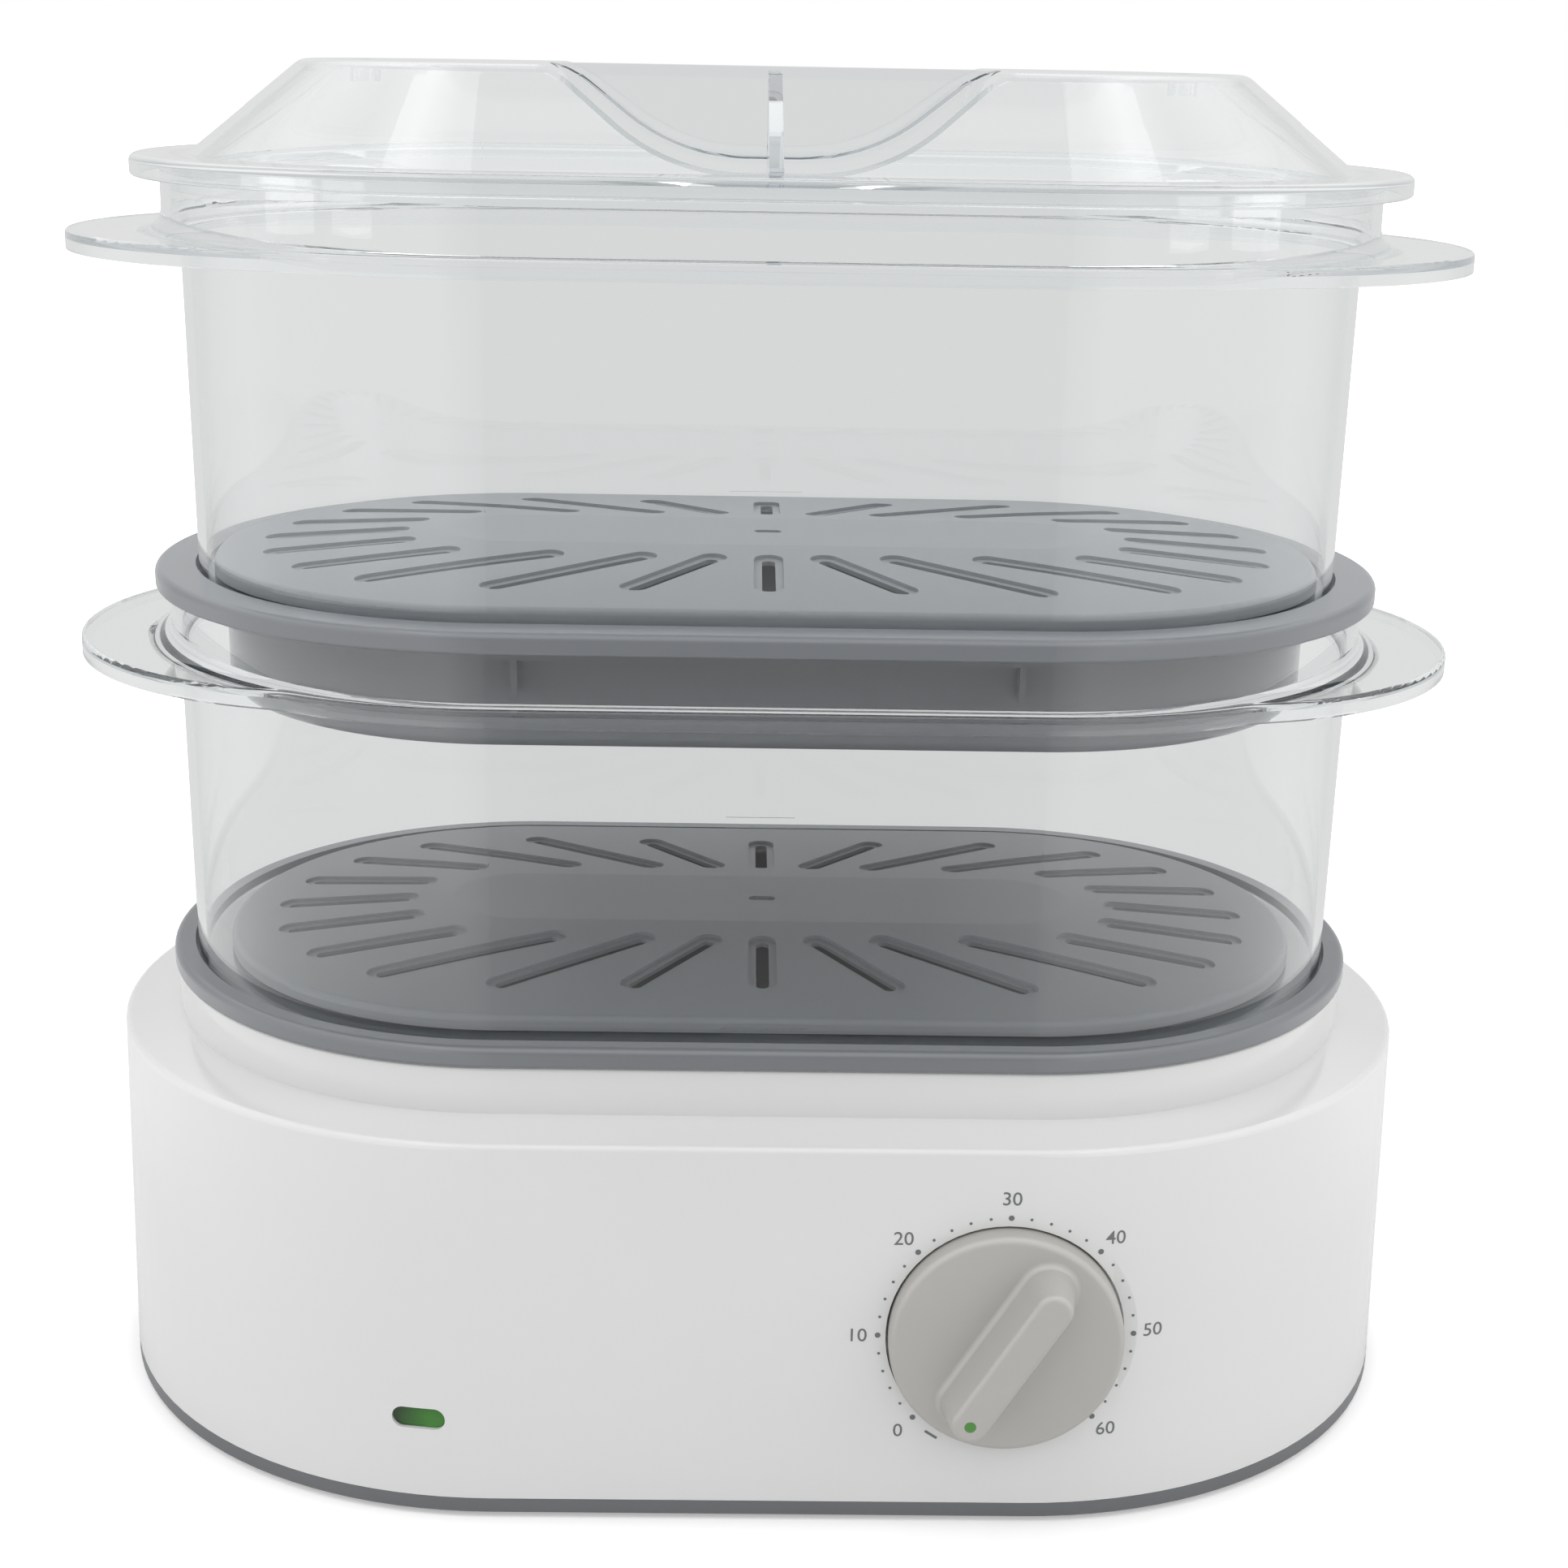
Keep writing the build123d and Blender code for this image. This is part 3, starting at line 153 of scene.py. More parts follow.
# %% Group: moulded skin
CLOUD_BEGINS, CLOUD_FULL = 0.3, 0.7
skin_group, given, gives = new_group(
    "moulded skin", {"Grain Size": 0.0005, "Swell Size": 0.04, "Swell Share": 0.5},
    ["Height", "Cloud"])
fine = noise(skin_group, given["Grain Size"])
slow = noise(skin_group, given["Swell Size"], 1.0)
grain_share = sums(skin_group, "SUBTRACT", 1.0, given["Swell Share"])
feed(skin_group, gives["Height"], sums(
    skin_group, "ADD", sums(skin_group, "MULTIPLY", fine, grain_share),
    sums(skin_group, "MULTIPLY", slow, given["Swell Share"])))
feed(skin_group, gives["Cloud"], remap(skin_group, slow, CLOUD_BEGINS, CLOUD_FULL))

# %% [markdown]
# ** Worn and highlighted edges.** Hands and dishwashers rub corners first, and the paler colour
# that goes on every edge is also a painted highlight. The Bevel node gives the normal as if the
# edges were rounded, so wherever it differs from the true normal there is an edge. A noise breaks
# the line up, because wear is never even.

# %% Group: worn and highlighted edges
EDGE_BEGINS, EDGE_FULL = 0.995, 0.8       # cosine between the rounded and the true normal
PATCH_BEGINS, PATCH_FULL = 0.35, 0.65     # height of the noise that breaks the line up
wear_and_highlight_group, given, gives = new_group("worn and highlighted edges", {"Reach": 0.001, "Patch Size": 0.006}, ["Mask"])
# The mask marks every edge for a paler colour, which is wear and also a painted highlight.
rounded = put(wear_and_highlight_group, "Bevel", {"samples": 4}, Radius=given["Reach"]).outputs[0]
true_normal = put(wear_and_highlight_group, "NewGeometry").outputs["Normal"]
facing = put(wear_and_highlight_group, "VectorMath", {"operation": "DOT_PRODUCT"})
feed(wear_and_highlight_group, facing.inputs[0], rounded)
feed(wear_and_highlight_group, facing.inputs[1], true_normal)
near_edge = remap(wear_and_highlight_group, facing.outputs["Value"], EDGE_BEGINS, EDGE_FULL)
broken_up = noise(wear_and_highlight_group, given["Patch Size"], 3.0)
patches = remap(wear_and_highlight_group, broken_up, PATCH_BEGINS, PATCH_FULL)
feed(wear_and_highlight_group, gives["Mask"], sums(wear_and_highlight_group, "MULTIPLY", near_edge, patches))

# %% [markdown]
# **Settled dust.** A little dust lies on what faces up. The mask follows the height of the normal
# and is broken by noise, so undersides stay clean.

# %% Group: settled dust
TOO_STEEP, LEVEL = 0.4, 1.0               # height of the normal where dust begins and is full
SPECK_BEGINS, SPECK_FULL = 0.4, 0.75
dust_group, given, gives = new_group("settled dust", {"Amount": 0.2, "Patch Size": 0.02}, ["Mask"])
upward = put(dust_group, "SeparateXYZ", Vector=put(dust_group, "NewGeometry").outputs["Normal"])
lying = remap(dust_group, upward.outputs["Z"], TOO_STEEP, LEVEL)
scattered = noise(dust_group, given["Patch Size"], 6.0)
specks = remap(dust_group, scattered, SPECK_BEGINS, SPECK_FULL)
feed(dust_group, gives["Mask"], sums(
    dust_group, "MULTIPLY", sums(dust_group, "MULTIPLY", lying, specks), given["Amount"]))

# %% [markdown]
# **Touch marks.** Fingers and dried drops dull a shiny surface in soft patches. A distorted noise
# lifts the roughness from its clean value.

# %% Group: touch marks
SMEAR_BEGINS, SMEAR_FULL = 0.42, 0.72
touch_group, given, gives = new_group(
    "touch marks", {"Clean": 0.2, "Dulled": 0.1, "Patch Size": 0.03}, ["Roughness"])
smudges = noise(touch_group, given["Patch Size"], 5.0, distortion=0.6)
smears = remap(touch_group, smudges, SMEAR_BEGINS, SMEAR_FULL)
feed(touch_group, gives["Roughness"], sums(
    touch_group, "ADD", given["Clean"], sums(touch_group, "MULTIPLY", smears, given["Dulled"])))

# %% [markdown]
# **Flow lines.** Clear plastic that filled a deep mould keeps faint level ripples. The noise is
# stretched sideways and squeezed in height to draw them.

# %% Group: flow lines
flow_group, given, gives = new_group(
    "flow lines", {"Line Size": 0.004, "Stretch": 14.0}, ["Height"])
around = put(flow_group, "SeparateXYZ", Vector=on_surface(flow_group)).outputs
narrowed = put(flow_group, "CombineXYZ",
               X=sums(flow_group, "DIVIDE", around["X"], given["Stretch"]),
               Y=sums(flow_group, "DIVIDE", around["Y"], given["Stretch"]), Z=around["Z"])
feed(flow_group, gives["Height"], noise(flow_group, given["Line Size"], 2.0, narrowed.outputs[0]))

# %% [markdown]
# **Turned lines.** The pressed heater plate was polished while it turned. A noise that is read
# along the distance from its middle makes fine rings.

# %% Group: turned lines
turned_group, given, gives = new_group("turned lines", {"Ring Size": 0.0004}, ["Height"])
spot = put(turned_group, "SeparateXYZ", Vector=on_surface(turned_group)).outputs
from_middle = put(turned_group, "VectorMath", {"operation": "LENGTH"})
feed(turned_group, from_middle.inputs[0],
     put(turned_group, "CombineXYZ", X=spot["X"], Y=spot["Y"]).outputs[0])
ring_place = put(turned_group, "CombineXYZ", X=from_middle.outputs["Value"])
rings_up = noise(turned_group, given["Ring Size"], 3.0, ring_place.outputs[0])
feed(turned_group, gives["Height"], rings_up)

# %% [markdown]
# ## Opaque finishes
# Every opaque piece is moulded plastic, rubber or metal, and they differ only in numbers. One
# function builds the network: a body colour clouded by the swell, a paler edge that is wear and
# painted highlight, a film of dust that is also duller, a roughness with touch marks, and a bump
# from the skin.

# %% Opaque finish
DUST = shade("#c9c8c4")
DUST_ROUGHNESS = 0.5
finishes = {}


def opaque(name, colour, worn, clean, dulled=0.06, metallic=0.0, grain=0.0005, swell=0.04,
           swell_share=0.6, depth=0.00004, edge=0.0006, wear_and_highlight_share=0.5, dust=0.15, cloud=0.94,
           lines=None):
    """Make an opaque finish. colour and worn are hex codes, the second for edges that are worn and
    carry a painted highlight, and sizes are in metres.
    """
    material = bpy.data.materials.new(name)
    material.use_nodes = True
    tree = material.node_tree
    shader = tree.nodes["Principled BSDF"]
    skin = place_group(tree, skin_group, Grain_Size=grain, Swell_Size=swell,
                       Swell_Share=swell_share)
    edges = place_group(tree, wear_and_highlight_group, Reach=edge)
    film = place_group(tree, dust_group, Amount=dust)
    marks = place_group(tree, touch_group, Clean=clean, Dulled=dulled)
    body = shade(colour)
    clouded = blended(tree, skin.outputs["Cloud"], [c * cloud for c in body[:3]] + [1.0], body)
    # Paler edges: part wear, part painted highlight along every edge.
    wear_and_highlight_mix = sums(tree, "MULTIPLY", edges.outputs["Mask"], wear_and_highlight_share)
    worn_and_highlighted = blended(tree, wear_and_highlight_mix, clouded, shade(worn))
    feed(tree, shader.inputs["Base Color"], blended(tree, film.outputs["Mask"], worn_and_highlighted, DUST))
    feed(tree, shader.inputs["Roughness"], sums(
        tree, "ADD", marks.outputs["Roughness"],
        sums(tree, "MULTIPLY", film.outputs["Mask"], DUST_ROUGHNESS)))
    shader.inputs["Metallic"].default_value = metallic
    height = skin.outputs["Height"]
    if lines:
        rings = place_group(tree, turned_group, Ring_Size=lines)
        height = sums(tree, "ADD", height, rings.outputs["Height"])
    bump = put(tree, "Bump", Height=height, Distance=depth, Strength=1.0)
    feed(tree, shader.inputs["Normal"], bump.outputs[0])
    finishes[name] = material


print("dust as light:", [round(c, 3) for c in DUST[:3]])

# %% [markdown]
# **The shells.** The base is glossy white plastic, the water tank is the same white but satin, and
# the bottom cover, trays and plates are three greys that get paler from the table up. The trays
# are the shiniest of the three, and the plates are satin.

# %% Shells, trays and plates
opaque("white_gloss", "#e1e2e1", "#f2f2f0", 0.12, 0.03, grain=0.0008, swell_share=0.8,
       depth=0.000012, wear_and_highlight_share=0.3, dust=0.03, cloud=0.99)
opaque("tank_white", "#dddedc", "#ececea", 0.3, dust=0.05, cloud=0.98)
opaque("base_grey", "#6c6e71", "#8b8d90", 0.34, depth=0.00002, wear_and_highlight_share=0.3)
opaque("tray_grey", "#777a7e", "#94979b", 0.18, 0.005, grain=0.0012, swell_share=0.97,
       depth=0.0000015, edge=0.0004, wear_and_highlight_share=0.15, dust=0.0, cloud=0.985)
opaque("plate_grey", "#8e9195", "#a3a6aa", 0.36, 0.01, grain=0.0012, swell_share=0.97,
       depth=0.000004, edge=0.0004, wear_and_highlight_share=0.15, dust=0.0, cloud=0.985)
print("finishes so far:", ", ".join(finishes))

# %% [markdown]
# **The knob.** It is sprayed with a warm satin paint that holds fine metal flakes, so it is partly
# metallic and its grain is small and sharp.

# %% Knob and marker
opaque("knob_satin", "#b7b5b1", "#c6c4c0", 0.48, 0.04, metallic=0.15, grain=0.00018,
       swell_share=0.2, depth=0.00001, wear_and_highlight_share=0.12, dust=0.02, cloud=0.98)
opaque("marker_green", "#4e8a3c", "#6fa65d", 0.3, dust=0.0)
print("finishes so far:", len(finishes))

# %% [markdown]
# **The works.** What sits inside the base is seen from below or with the stack lifted off: a steel
# heater dish with its sheathed element, the screws, the timer with its bell, and the leads.

# %% Steel, aluminium, rubber and wiring
# The edge colour in this table is wear and painted highlight together.
METALS = {                                # body, worn edge, roughness, size of turned lines
    "heater_steel": ("#b9b7b2", "#d8d6d1", 0.24, 0.0004),
    "screw_steel": ("#aeb0b2", "#d5d6d8", 0.3, None),
    "clamp_aluminium": ("#b4b6b8", "#d0d2d4", 0.42, None),
    "element_sheath": ("#6f6a64", "#98928b", 0.5, None),
    "thermostat_can": ("#a9a7a3", "#c8c6c2", 0.34, None),
    "bell_steel": ("#c2bfb6", "#dedbd2", 0.22, None),
    "shaft_steel": ("#a7a8aa", "#cfd0d2", 0.28, None)}
for name, (colour, worn, clean, lines) in METALS.items():
    opaque(name, colour, worn, clean, metallic=1.0, lines=lines, depth=0.00001, dust=0.03)

# Here too the edge colour is wear and painted highlight together.
DULL = {                                  # body, worn edge, roughness
    "rubber": ("#3b3c3e", "#565759", 0.72), "silicone": ("#b9573f", "#c87a66", 0.6),
    "fuse_body": ("#c9c2ae", "#ddd8c8", 0.5), "timer_plastic": ("#3a3b3d", "#58595b", 0.45),
    "gland_rubber": ("#55575a", "#717376", 0.62), "clamp_plastic": ("#d3d3cf", "#e6e6e2", 0.42),
    "terminal_plastic": ("#d9d2bf", "#e8e3d5", 0.4),
    "lead_insulation": ("#9c4a3a", "#b5705f", 0.45)}
for name, (colour, worn, clean) in DULL.items():
    opaque(name, colour, worn, clean, grain=0.0003, depth=0.00005)
print("opaque finishes:", len(finishes))

# %% [markdown]
# ## Clear finishes
# The baskets and the lid are clear plastic, so they are glass to the renderer: a Principled
# shader with full transmission. A caustic through glass would take thousands of samples, so lamps
# are let straight through instead: for a shadow ray the material is a slightly grey Transparent
# shader. Light that is caught in a rim goes back and forth there, and the renderer gives up on it
# after a few turns, which draws rims black. So such a ray is let out straight as well. A thin
# absorption inside still darkens the long way through an edge.


# %% Clear finish
PLASTIC_IOR = 1.5
CAUGHT_TURNS = 2.5
# Along the piece: where the painted shade at the tint end fades out to the unshaded tint.
SHADE_FADE_BEGINS, SHADE_FADE_FULL = 0.15, 0.6        # along the piece, where it turns to its second tint
SMEAR_SIZE = 0.05


def clear(name, tint, clean, dulled, lets_through, line_size, line_depth, absorb=None, density=0.0,
          transmission=1.0, unshaded_tint=None):
    """Make a see-through finish. tint colours the glass, lets_through what a lamp sends past, and
    unshaded_tint, where given, fades in along the piece, so the tint end stands for painted shade.
    """
    material = bpy.data.materials.new(name)
    material.use_nodes = True
    tree = material.node_tree
    shader = tree.nodes["Principled BSDF"]
    marks = place_group(tree, touch_group, Clean=clean, Dulled=dulled, Patch_Size=SMEAR_SIZE)
    ripples = place_group(tree, flow_group, Line_Size=line_size)
    shader.inputs["Base Color"].default_value = shade(tint)
    # Painted shade: the base colour is darkest at the near end and fades along the piece to the
    # unshaded tint.
    if unshaded_tint:
        spread = put(tree, "TexCoord").outputs["Generated"]
        along = put(tree, "SeparateXYZ", Vector=spread).outputs["X"]
        share = remap(tree, along, SHADE_FADE_BEGINS, SHADE_FADE_FULL)
        feed(tree, shader.inputs["Base Color"], blended(tree, share, shade(tint), shade(unshaded_tint)))
    shader.inputs["IOR"].default_value = PLASTIC_IOR
    shader.inputs["Transmission Weight"].default_value = transmission
    feed(tree, shader.inputs["Roughness"], marks.outputs["Roughness"])
    bump = put(tree, "Bump", Height=ripples.outputs["Height"], Distance=line_depth, Strength=1.0)
    feed(tree, shader.inputs["Normal"], bump.outputs[0])
    through = put(tree, "BsdfTransparent", Color=shade(lets_through))
    path = put(tree, "LightPath").outputs
    caught = sums(tree, "GREATER_THAN", path["Glossy Depth"], CAUGHT_TURNS)
    mixed = put(tree, "MixShader", Fac=sums(tree, "MAXIMUM", path["Is Shadow Ray"], caught))
    feed(tree, mixed.inputs[1], shader.outputs[0])
    feed(tree, mixed.inputs[2], through.outputs[0])
    ending = tree.nodes["Material Output"]
    feed(tree, ending.inputs["Surface"], mixed.outputs[0])
    if absorb:
        inside = put(tree, "VolumeAbsorption", Color=shade(absorb), Density=density)
        feed(tree, ending.inputs["Volume"], inside.outputs[0])
    finishes[name] = material


print("caught after", CAUGHT_TURNS, "turns")

# %% Clear plastic, lens and lamp
clear("clear_plastic", "#fcfdfd", 0.0, 0.002, "#f8f9f9", 0.012, 0.0000008, "#b9c4cc", 9.0)
# The lens is painted dark at its left end, fading to bright green at its right: painted shade of
# the recess it sits in.
clear("lens_green", "#35522f", 0.1, 0.05, "#3f9a2f", 0.001, 0.00003, transmission=0.5,
      unshaded_tint="#4fa03a")
clear("lamp_glass", "#cfe3c9", 0.05, 0.03, "#cfe3c9", 0.003, 0.00002, transmission=0.9)
print("finishes:", len(finishes))

# %% [markdown]
# ## Dress the solids
# Each solid carries the name of its finish in its material slot, so the swap is a loop.

# %% Swap the finishes in
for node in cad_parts.values():
    for place in node.material_slots:
        place.material = finishes[place.material.name.split(".")[0]]
print("dressed:", len(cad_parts), "solids")

# %% [markdown]
# ## The dial print
# The minutes round the knob are pad printed: numbers every ten minutes, a large dot beside each,
# four small dots between, and a short bar for off. Ink could be a painted texture, but thin
# pieces stay sharp at any distance. Each mark is drawn flat, then pressed onto the wall from
# the front, so that it follows the lean and the curve of the housing.

# %% Sizes of the print
DIAL_X, DIAL_Z = 0.0574, 0.04865          # middle of the print
ZERO_ANGLE, TEN_MINUTES = 45.0, 45.0      # degrees, clockwise from straight down
OFF_ANGLE, OFF_CIRCLE = 33.1, 0.0306
OFF_LENGTH, OFF_WIDTH = 0.0034, 0.00065
DOT_CIRCLE, NUMBER_CIRCLE = 0.0299, 0.0347
LARGE_DOT, SMALL_DOT = 0.00068, 0.00036
NUMBER_HEIGHT, NUMBER_WIDENING, NUMBER_BOLDNESS = 0.0033, 1.03, 0.004
INK_STAND = 0.00004                       # how far the ink stands off the wall
IN_FRONT = -0.2                           # where the rays that find the wall start
MINUTES, DOT_CORNERS, FIGURE_CURVES = 60, 20, 5
print("minutes on the dial:", MINUTES, "number circle:", NUMBER_CIRCLE)


# %% Places round the dial
def on_dial(angle, radius):
    """The x and z of a mark, at an angle clockwise from straight down."""
    turn = math.radians(angle)
    return DIAL_X - radius * math.sin(turn), DIAL_Z - radius * math.cos(turn)


print("the bar for off goes to", [round(c, 4) for c in on_dial(OFF_ANGLE, OFF_CIRCLE)])


# %% Dots and bars, drawn flat
def dot(angle, size):
    """A round dot, as corners and one face."""
    x, z = on_dial(angle, DOT_CIRCLE)
    turns = [math.tau * i / DOT_CORNERS for i in range(DOT_CORNERS)]
    corners = [(x + size * math.cos(t), z + size * math.sin(t)) for t in turns]
    return corners, [tuple(range(DOT_CORNERS))]


def bar(angle, radius, length, width):
    """A short bar that lies along the circle."""
    turn = math.radians(angle)
    along = (math.cos(turn) * length / 2, -math.sin(turn) * length / 2)
    inner, outer = on_dial(angle, radius - width / 2), on_dial(angle, radius + width / 2)
    corners = [(x + side * along[0], z + side * along[1])
               for (x, z), side in ((inner, -1), (inner, 1), (outer, 1), (outer, -1))]
    return corners, [(0, 1, 2, 3)]


print("corners of a dot:", len(dot(ZERO_ANGLE, LARGE_DOT)[0]))


# %% Numbers, drawn flat
def number(text, angle):
    """The figures of one number, upright, with their middle on the number circle."""
    curve = bpy.data.curves.new("figures", "FONT")
    curve.body, curve.size = text, 1.0
    curve.align_x, curve.align_y = "CENTER", "CENTER"
    curve.resolution_u = FIGURE_CURVES
    curve.offset = NUMBER_BOLDNESS
    lettering = bpy.data.objects.new("figures", curve)
    mesh = bpy.data.meshes.new_from_object(lettering)
    heights = [v.co.y for v in mesh.vertices]
    scale = NUMBER_HEIGHT / (max(heights) - min(heights))
    middle = (max(heights) + min(heights)) / 2
    x, z = on_dial(angle, NUMBER_CIRCLE)
    corners = [(x + v.co.x * scale * NUMBER_WIDENING, z + (v.co.y - middle) * scale)
               for v in mesh.vertices]
    faces = [tuple(f.vertices) for f in mesh.polygons]
    bpy.data.objects.remove(lettering)
    return corners, faces


print("numbers are", NUMBER_HEIGHT, "m tall")

# %% All the marks
marks = [bar(OFF_ANGLE, OFF_CIRCLE, OFF_LENGTH, OFF_WIDTH)]
for minute in range(0, MINUTES + 1, 10):
    angle = ZERO_ANGLE + TEN_MINUTES * minute / 10
    marks.append(dot(angle, LARGE_DOT))
    marks.append(number(str(minute), angle))
    if minute < MINUTES:
        marks += [dot(angle + TEN_MINUTES * part / 5, SMALL_DOT) for part in range(1, 5)]
print("marks on the dial:", len(marks))

# %% Press the marks onto the wall
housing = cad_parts["base_housing"]
wall = BVHTree.FromPolygons([v.co for v in housing.data.vertices],
                            [tuple(f.vertices) for f in housing.data.polygons])
points, faces = [], []
for corners, outlines in marks:
    start = len(points)
    for x, z in corners:
        hit = wall.ray_cast(Vector((x, IN_FRONT, z)), Vector((0, 1, 0)))[0]
        points.append((x, hit.y - INK_STAND, z))
    faces += [tuple(start + i for i in outline) for outline in outlines]
print_mesh = bpy.data.meshes.new("dial_print")
print_mesh.from_pydata(points, [], faces)
dial_print = bpy.data.objects.new("dial_print", print_mesh)
bpy.context.scene.collection.objects.link(dial_print)
print("pressed on:", len(points), "corners in", len(faces), "faces")

# %% [markdown]
# **The ink.** It is a soft grey, a little duller than the wall, and it rides on the base.

# %% Ink
opaque("dial_ink", "#6e7072", "#7e8082", 0.45, grain=0.0001, depth=0.000004, edge=0.0001,
       dust=0.0)
print_mesh.materials.append(finishes["dial_ink"])
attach(dial_print, "base")
print("ink on:", dial_print.name)

# %% [markdown]
# ## The studio
# The steamer stands on a pale floor under two long softboxes, with one more at each side. The
# room is pale all round but for a darker gap in front. The straight walls mirror that gap and
# the round ends mirror the pale sides, and this is how clear plastic shows its shape.


# %% Lamps
def softbox(name, place, aim, width, length, level, lies_along=(0, 0, 1)):
    """A lamp that mirror images leave out. level is what it adds to a white surface facing it."""
    data = bpy.data.lights.new(name, "AREA")
    data.shape, data.size, data.size_y = "RECTANGLE", width, length
    back = Vector(place) - Vector(aim)
    data.energy = level * math.pi ** 2 * back.length_squared
    lamp = bpy.data.objects.new(name, data)
    bpy.context.scene.collection.objects.link(lamp)
    back.normalize()
    across = Vector(lies_along).cross(back).normalized()
    lamp.matrix_world = Matrix.Translation(place) @ Matrix(
        (across, back.cross(across), back)).transposed().to_4x4()
    lamp.visible_glossy = False
    print("lamp:", name, round(data.energy, 1), "W")


MIDDLE = (0.0, 0.0, 0.16)
LONG_WIDTH, SIDE_WIDTH, LAMP_LENGTH = 0.3, 0.5, 1.1
LONG_LEVEL, SIDE_LEVEL = 0.07, 0.13
for name, side in (("left", -1), ("right", 1)):
    softbox("long_" + name, (side * 0.4, 0.2, 1.5), MIDDLE, LONG_WIDTH, LAMP_LENGTH, LONG_LEVEL,
            lies_along=(0, 1, 0))
for name, side in (("left", -1), ("right", 1)):
    softbox("soft_" + name, (side * 1.25, -0.45, 0.7), MIDDLE, SIDE_WIDTH, LAMP_LENGTH, SIDE_LEVEL)

# %% [markdown]
# **The room.** A group turns a direction into the brightness that comes from there: a bright
# ceiling, pale walls at both sides, grey paper at the back, and the darker gap in front. Two
# brighter strips overhead have soft ends, which no lamp has, and draw a glow on each shoulder of
# the lid. World and floor both use the group, so that a mirror image runs on from one to the
# other. Through plastic the ceiling is calmer, or every rim would shine white.

# %% Brightness of the room
CEILING, WALLS, PAPER, GAP = 2.0, 1.6, 0.74, 0.32
CEILING_THROUGH_PLASTIC = 0.95
STRIP_PLACE, STRIP_HALF_WIDTH, STRIP_EXTRA = 0.3, 0.12, 1.5
print("ceiling, walls, paper and gap:", CEILING, WALLS, PAPER, GAP)

# %% Where the parts of the room fade into each other
GAP_TO_FRONT, GAP_TO_SIDE = (-0.9, -0.5), (0.14, 0.36)
SIDE_TO_BACK = (0.1, 0.6)
WALL_TO_CEILING, CEILING_TO_STRIP = (0.35, 0.7), (0.6, 0.85)
print("the ceiling begins", round(math.degrees(math.asin(WALL_TO_CEILING[0]))), "degrees up")

# %% Group: pale room
room_group, given, gives = new_group(
    "pale room", {"X": 0.0, "Y": 0.0, "Z": 0.0}, ["All Round", "Through Plastic"])
aside = sums(room_group, "ABSOLUTE", given["X"])
past_the_gap = sums(room_group, "MAXIMUM", remap(room_group, given["Y"], *GAP_TO_FRONT),
                    remap(room_group, aside, *GAP_TO_SIDE))
front_and_sides = between(room_group, past_the_gap, GAP, WALLS)
low_down = between(
    room_group, remap(room_group, given["Y"], *SIDE_TO_BACK), front_and_sides, PAPER)
overhead = remap(room_group, given["Z"], *WALL_TO_CEILING)
off_strip = sums(room_group, "ABSOLUTE", sums(room_group, "SUBTRACT", aside, STRIP_PLACE))
across_strip = remap(room_group, off_strip, STRIP_HALF_WIDTH, 0.0, 0.0, STRIP_EXTRA)
high_up = remap(room_group, given["Z"], *CEILING_TO_STRIP)
strips = sums(room_group, "MULTIPLY", across_strip, high_up)
ceiling = sums(room_group, "ADD", strips, CEILING)
feed(room_group, gives["All Round"], between(room_group, overhead, low_down, ceiling))
feed(room_group, gives["Through Plastic"], between(
    room_group, overhead, PAPER, CEILING_THROUGH_PLASTIC))

# %% [markdown]
# **The world.** To the eye it is a plain white backdrop, and through the clear plastic it is the
# grey paper. A ray that was turned round inside a rim counts as one that looks through. Other
# mirror images meet the room as it is, and light that dull surfaces gather is weaker, because
# a real room has dark things in it that no mirror image here shows.

# %% World
GATHERED_SHARE = 0.5


def straight_through(tree, seen):
    """1 for what the eye sees through clear plastic, and 0 for what a dull surface scattered."""
    straight = sums(tree, "LESS_THAN", seen["Diffuse Depth"], 0.5)
    turned_inside = sums(tree, "GREATER_THAN", seen["Glossy Depth"], 1.5)
    through_plastic = sums(tree, "MAXIMUM", seen["Is Transmission Ray"], turned_inside)
    return sums(tree, "MULTIPLY", through_plastic, straight)


world = bpy.data.worlds.new("room")
bpy.context.scene.world = world
world.use_nodes = True
tree = world.node_tree
background = tree.nodes["Background"]
way = put(tree, "SeparateXYZ", Vector=put(tree, "TexCoord").outputs["Generated"]).outputs
room = place_group(tree, room_group, X=way["X"], Y=way["Y"], Z=way["Z"]).outputs
seen = put(tree, "LightPath").outputs
gathered = sums(tree, "GREATER_THAN", seen["Diffuse Depth"], 0.5)
share = between(tree, gathered, 1.0, GATHERED_SHARE)
round_about = sums(tree, "MULTIPLY", room["All Round"], share)
beyond = between(tree, straight_through(tree, seen), round_about, room["Through Plastic"])
feed(tree, background.inputs["Strength"], between(tree, seen["Is Camera Ray"], beyond, 1.0))
background.inputs["Color"].default_value = shade("#ffffff")
print("world:", world.name, "with", len(tree.nodes), "nodes")

# %% [markdown]
# **The floor.** It takes the soft shadow near the feet and fades to the backdrop's white further
# out, so no line shows where they meet. Through the plastic and in mirror images the far floor
# shows what the world shows.

# %% Floor sheet
FLOOR_REACH, FLOOR_DROP = 12.0, 0.00005
corners = [(x * FLOOR_REACH, y * FLOOR_REACH, 0) for x, y in ((-1, -1), (1, -1), (1, 1), (-1, 1))]
floor_mesh = bpy.data.meshes.new("floor")
floor_mesh.from_pydata(corners, [], [(0, 1, 2, 3)])
floor = bpy.data.objects.new("floor", floor_mesh)
floor.location.z = -FLOOR_DROP
bpy.context.scene.collection.objects.link(floor)
print("floor:", 2 * FLOOR_REACH, "m across")

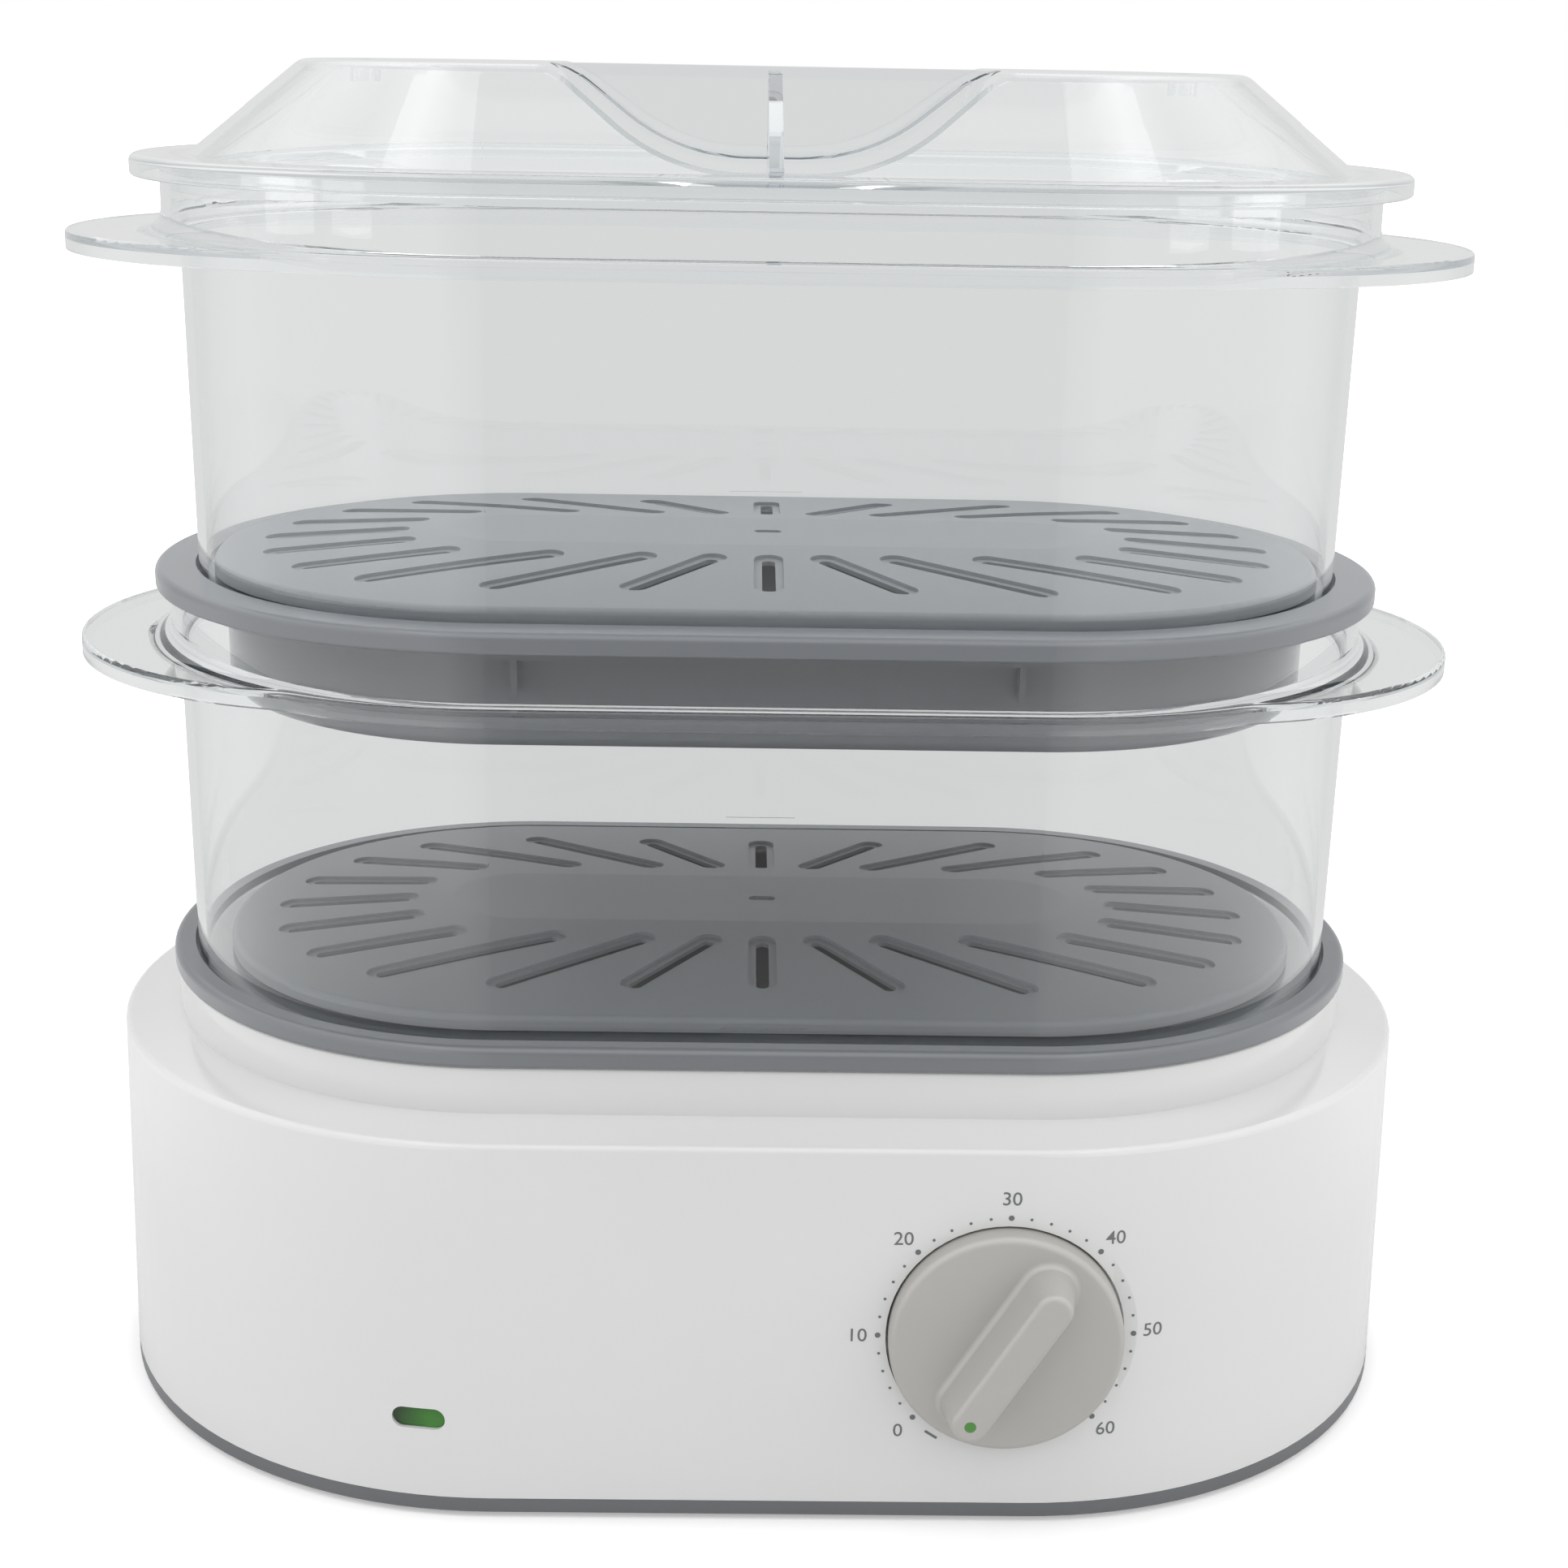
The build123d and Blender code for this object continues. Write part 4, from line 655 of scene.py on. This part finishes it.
# %% Near floor: paper, with the backdrop's white fading in
GLOW_FROM, GLOW_FULL, LEAST_GLOW = 0.25, 0.8, 0.35
paper = bpy.data.materials.new("paper_floor")
paper.use_nodes = True
floor_mesh.materials.append(paper)
tree = paper.node_tree
sheet_shader = tree.nodes["Principled BSDF"]
sheet_shader.inputs["Roughness"].default_value = 0.9
sheet_shader.inputs["Specular IOR Level"].default_value = 0.1
fibres = noise(tree, 0.002, 3.0)
paper_white = blended(tree, fibres, shade("#e2e2e2"), shade("#e6e6e6"))
feed(tree, sheet_shader.inputs["Base Color"], paper_white)
away = put(tree, "VectorMath", {"operation": "LENGTH"})    # metres from the middle foot
feed(tree, away.inputs[0], on_surface(tree))
fade = remap(tree, away.outputs["Value"], GLOW_FROM, GLOW_FULL, LEAST_GLOW, 1.0)
seen = put(tree, "LightPath").outputs
glow = put(tree, "Emission", Strength=sums(tree, "MULTIPLY", fade, seen["Is Camera Ray"]))
near_floor = put(tree, "AddShader")
feed(tree, near_floor.inputs[0], sheet_shader.outputs[0])
feed(tree, near_floor.inputs[1], glow.outputs[0])
print("near floor glows by", LEAST_GLOW, "at the feet and 1 from", GLOW_FULL, "m on")

# %% Far floor: the room again, for mirror images and through plastic
FAR_BEGINS, FAR_FULL = 0.25, 0.45
outward = put(tree, "VectorMath", {"operation": "NORMALIZE"})
feed(tree, outward.inputs[0], on_surface(tree))
way = put(tree, "SeparateXYZ", Vector=outward.outputs["Vector"]).outputs
room = place_group(tree, room_group, X=way["X"], Y=way["Y"]).outputs
through = straight_through(tree, seen)
far_paper = put(tree, "Emission", Strength=between(
    tree, through, room["All Round"], room["Through Plastic"]))
far_share = sums(tree, "MULTIPLY", remap(tree, away.outputs["Value"], FAR_BEGINS, FAR_FULL),
                 sums(tree, "MAXIMUM", through, seen["Is Glossy Ray"]))
sheet = put(tree, "MixShader", Fac=far_share)
feed(tree, sheet.inputs[1], near_floor.outputs[0])
feed(tree, sheet.inputs[2], far_paper.outputs[0])
feed(tree, tree.nodes["Material Output"].inputs["Surface"], sheet.outputs[0])
print("far floor from", FAR_BEGINS, "to", FAR_FULL, "m")

# %% [markdown]
# ## The camera
# A short telephoto stands a little over half a metre in front, level with the lid's top, and
# looks down at the stack. Its turns are in radians, and its lens and sensor in millimetres.

# %% Camera
place = Vector((-0.00591, -0.62418, 0.33569))
yaw, pitch, roll = 0.0179, 0.2873, 0.0186
forward = Vector((math.sin(yaw) * math.cos(pitch), math.cos(yaw) * math.cos(pitch),
                  -math.sin(pitch)))
level_right = Vector((math.cos(yaw), -math.sin(yaw), 0.0))
level_up = level_right.cross(forward)
right = math.cos(roll) * level_right + math.sin(roll) * level_up
up = -math.sin(roll) * level_right + math.cos(roll) * level_up
lens = bpy.data.cameras.new("camera")
lens.sensor_width, lens.lens = 36.0, 57.602
lens.clip_start = 0.01
camera = bpy.data.objects.new("camera", lens)
bpy.context.scene.collection.objects.link(camera)
facing = Matrix((right, up, -forward)).transposed().to_4x4()
camera.matrix_world = Matrix.Translation(place) @ facing
bpy.context.scene.camera = camera
print("camera:", round(place.length, 3), "m from the middle foot,", lens.lens, "mm")

# %% [markdown]
# ## Colours as written
# The Standard view shows a colour as it is written, so the greys can be judged against real ones.

# %% View
bpy.context.scene.view_settings.view_transform = "Standard"
print("view:", bpy.context.scene.view_settings.view_transform)
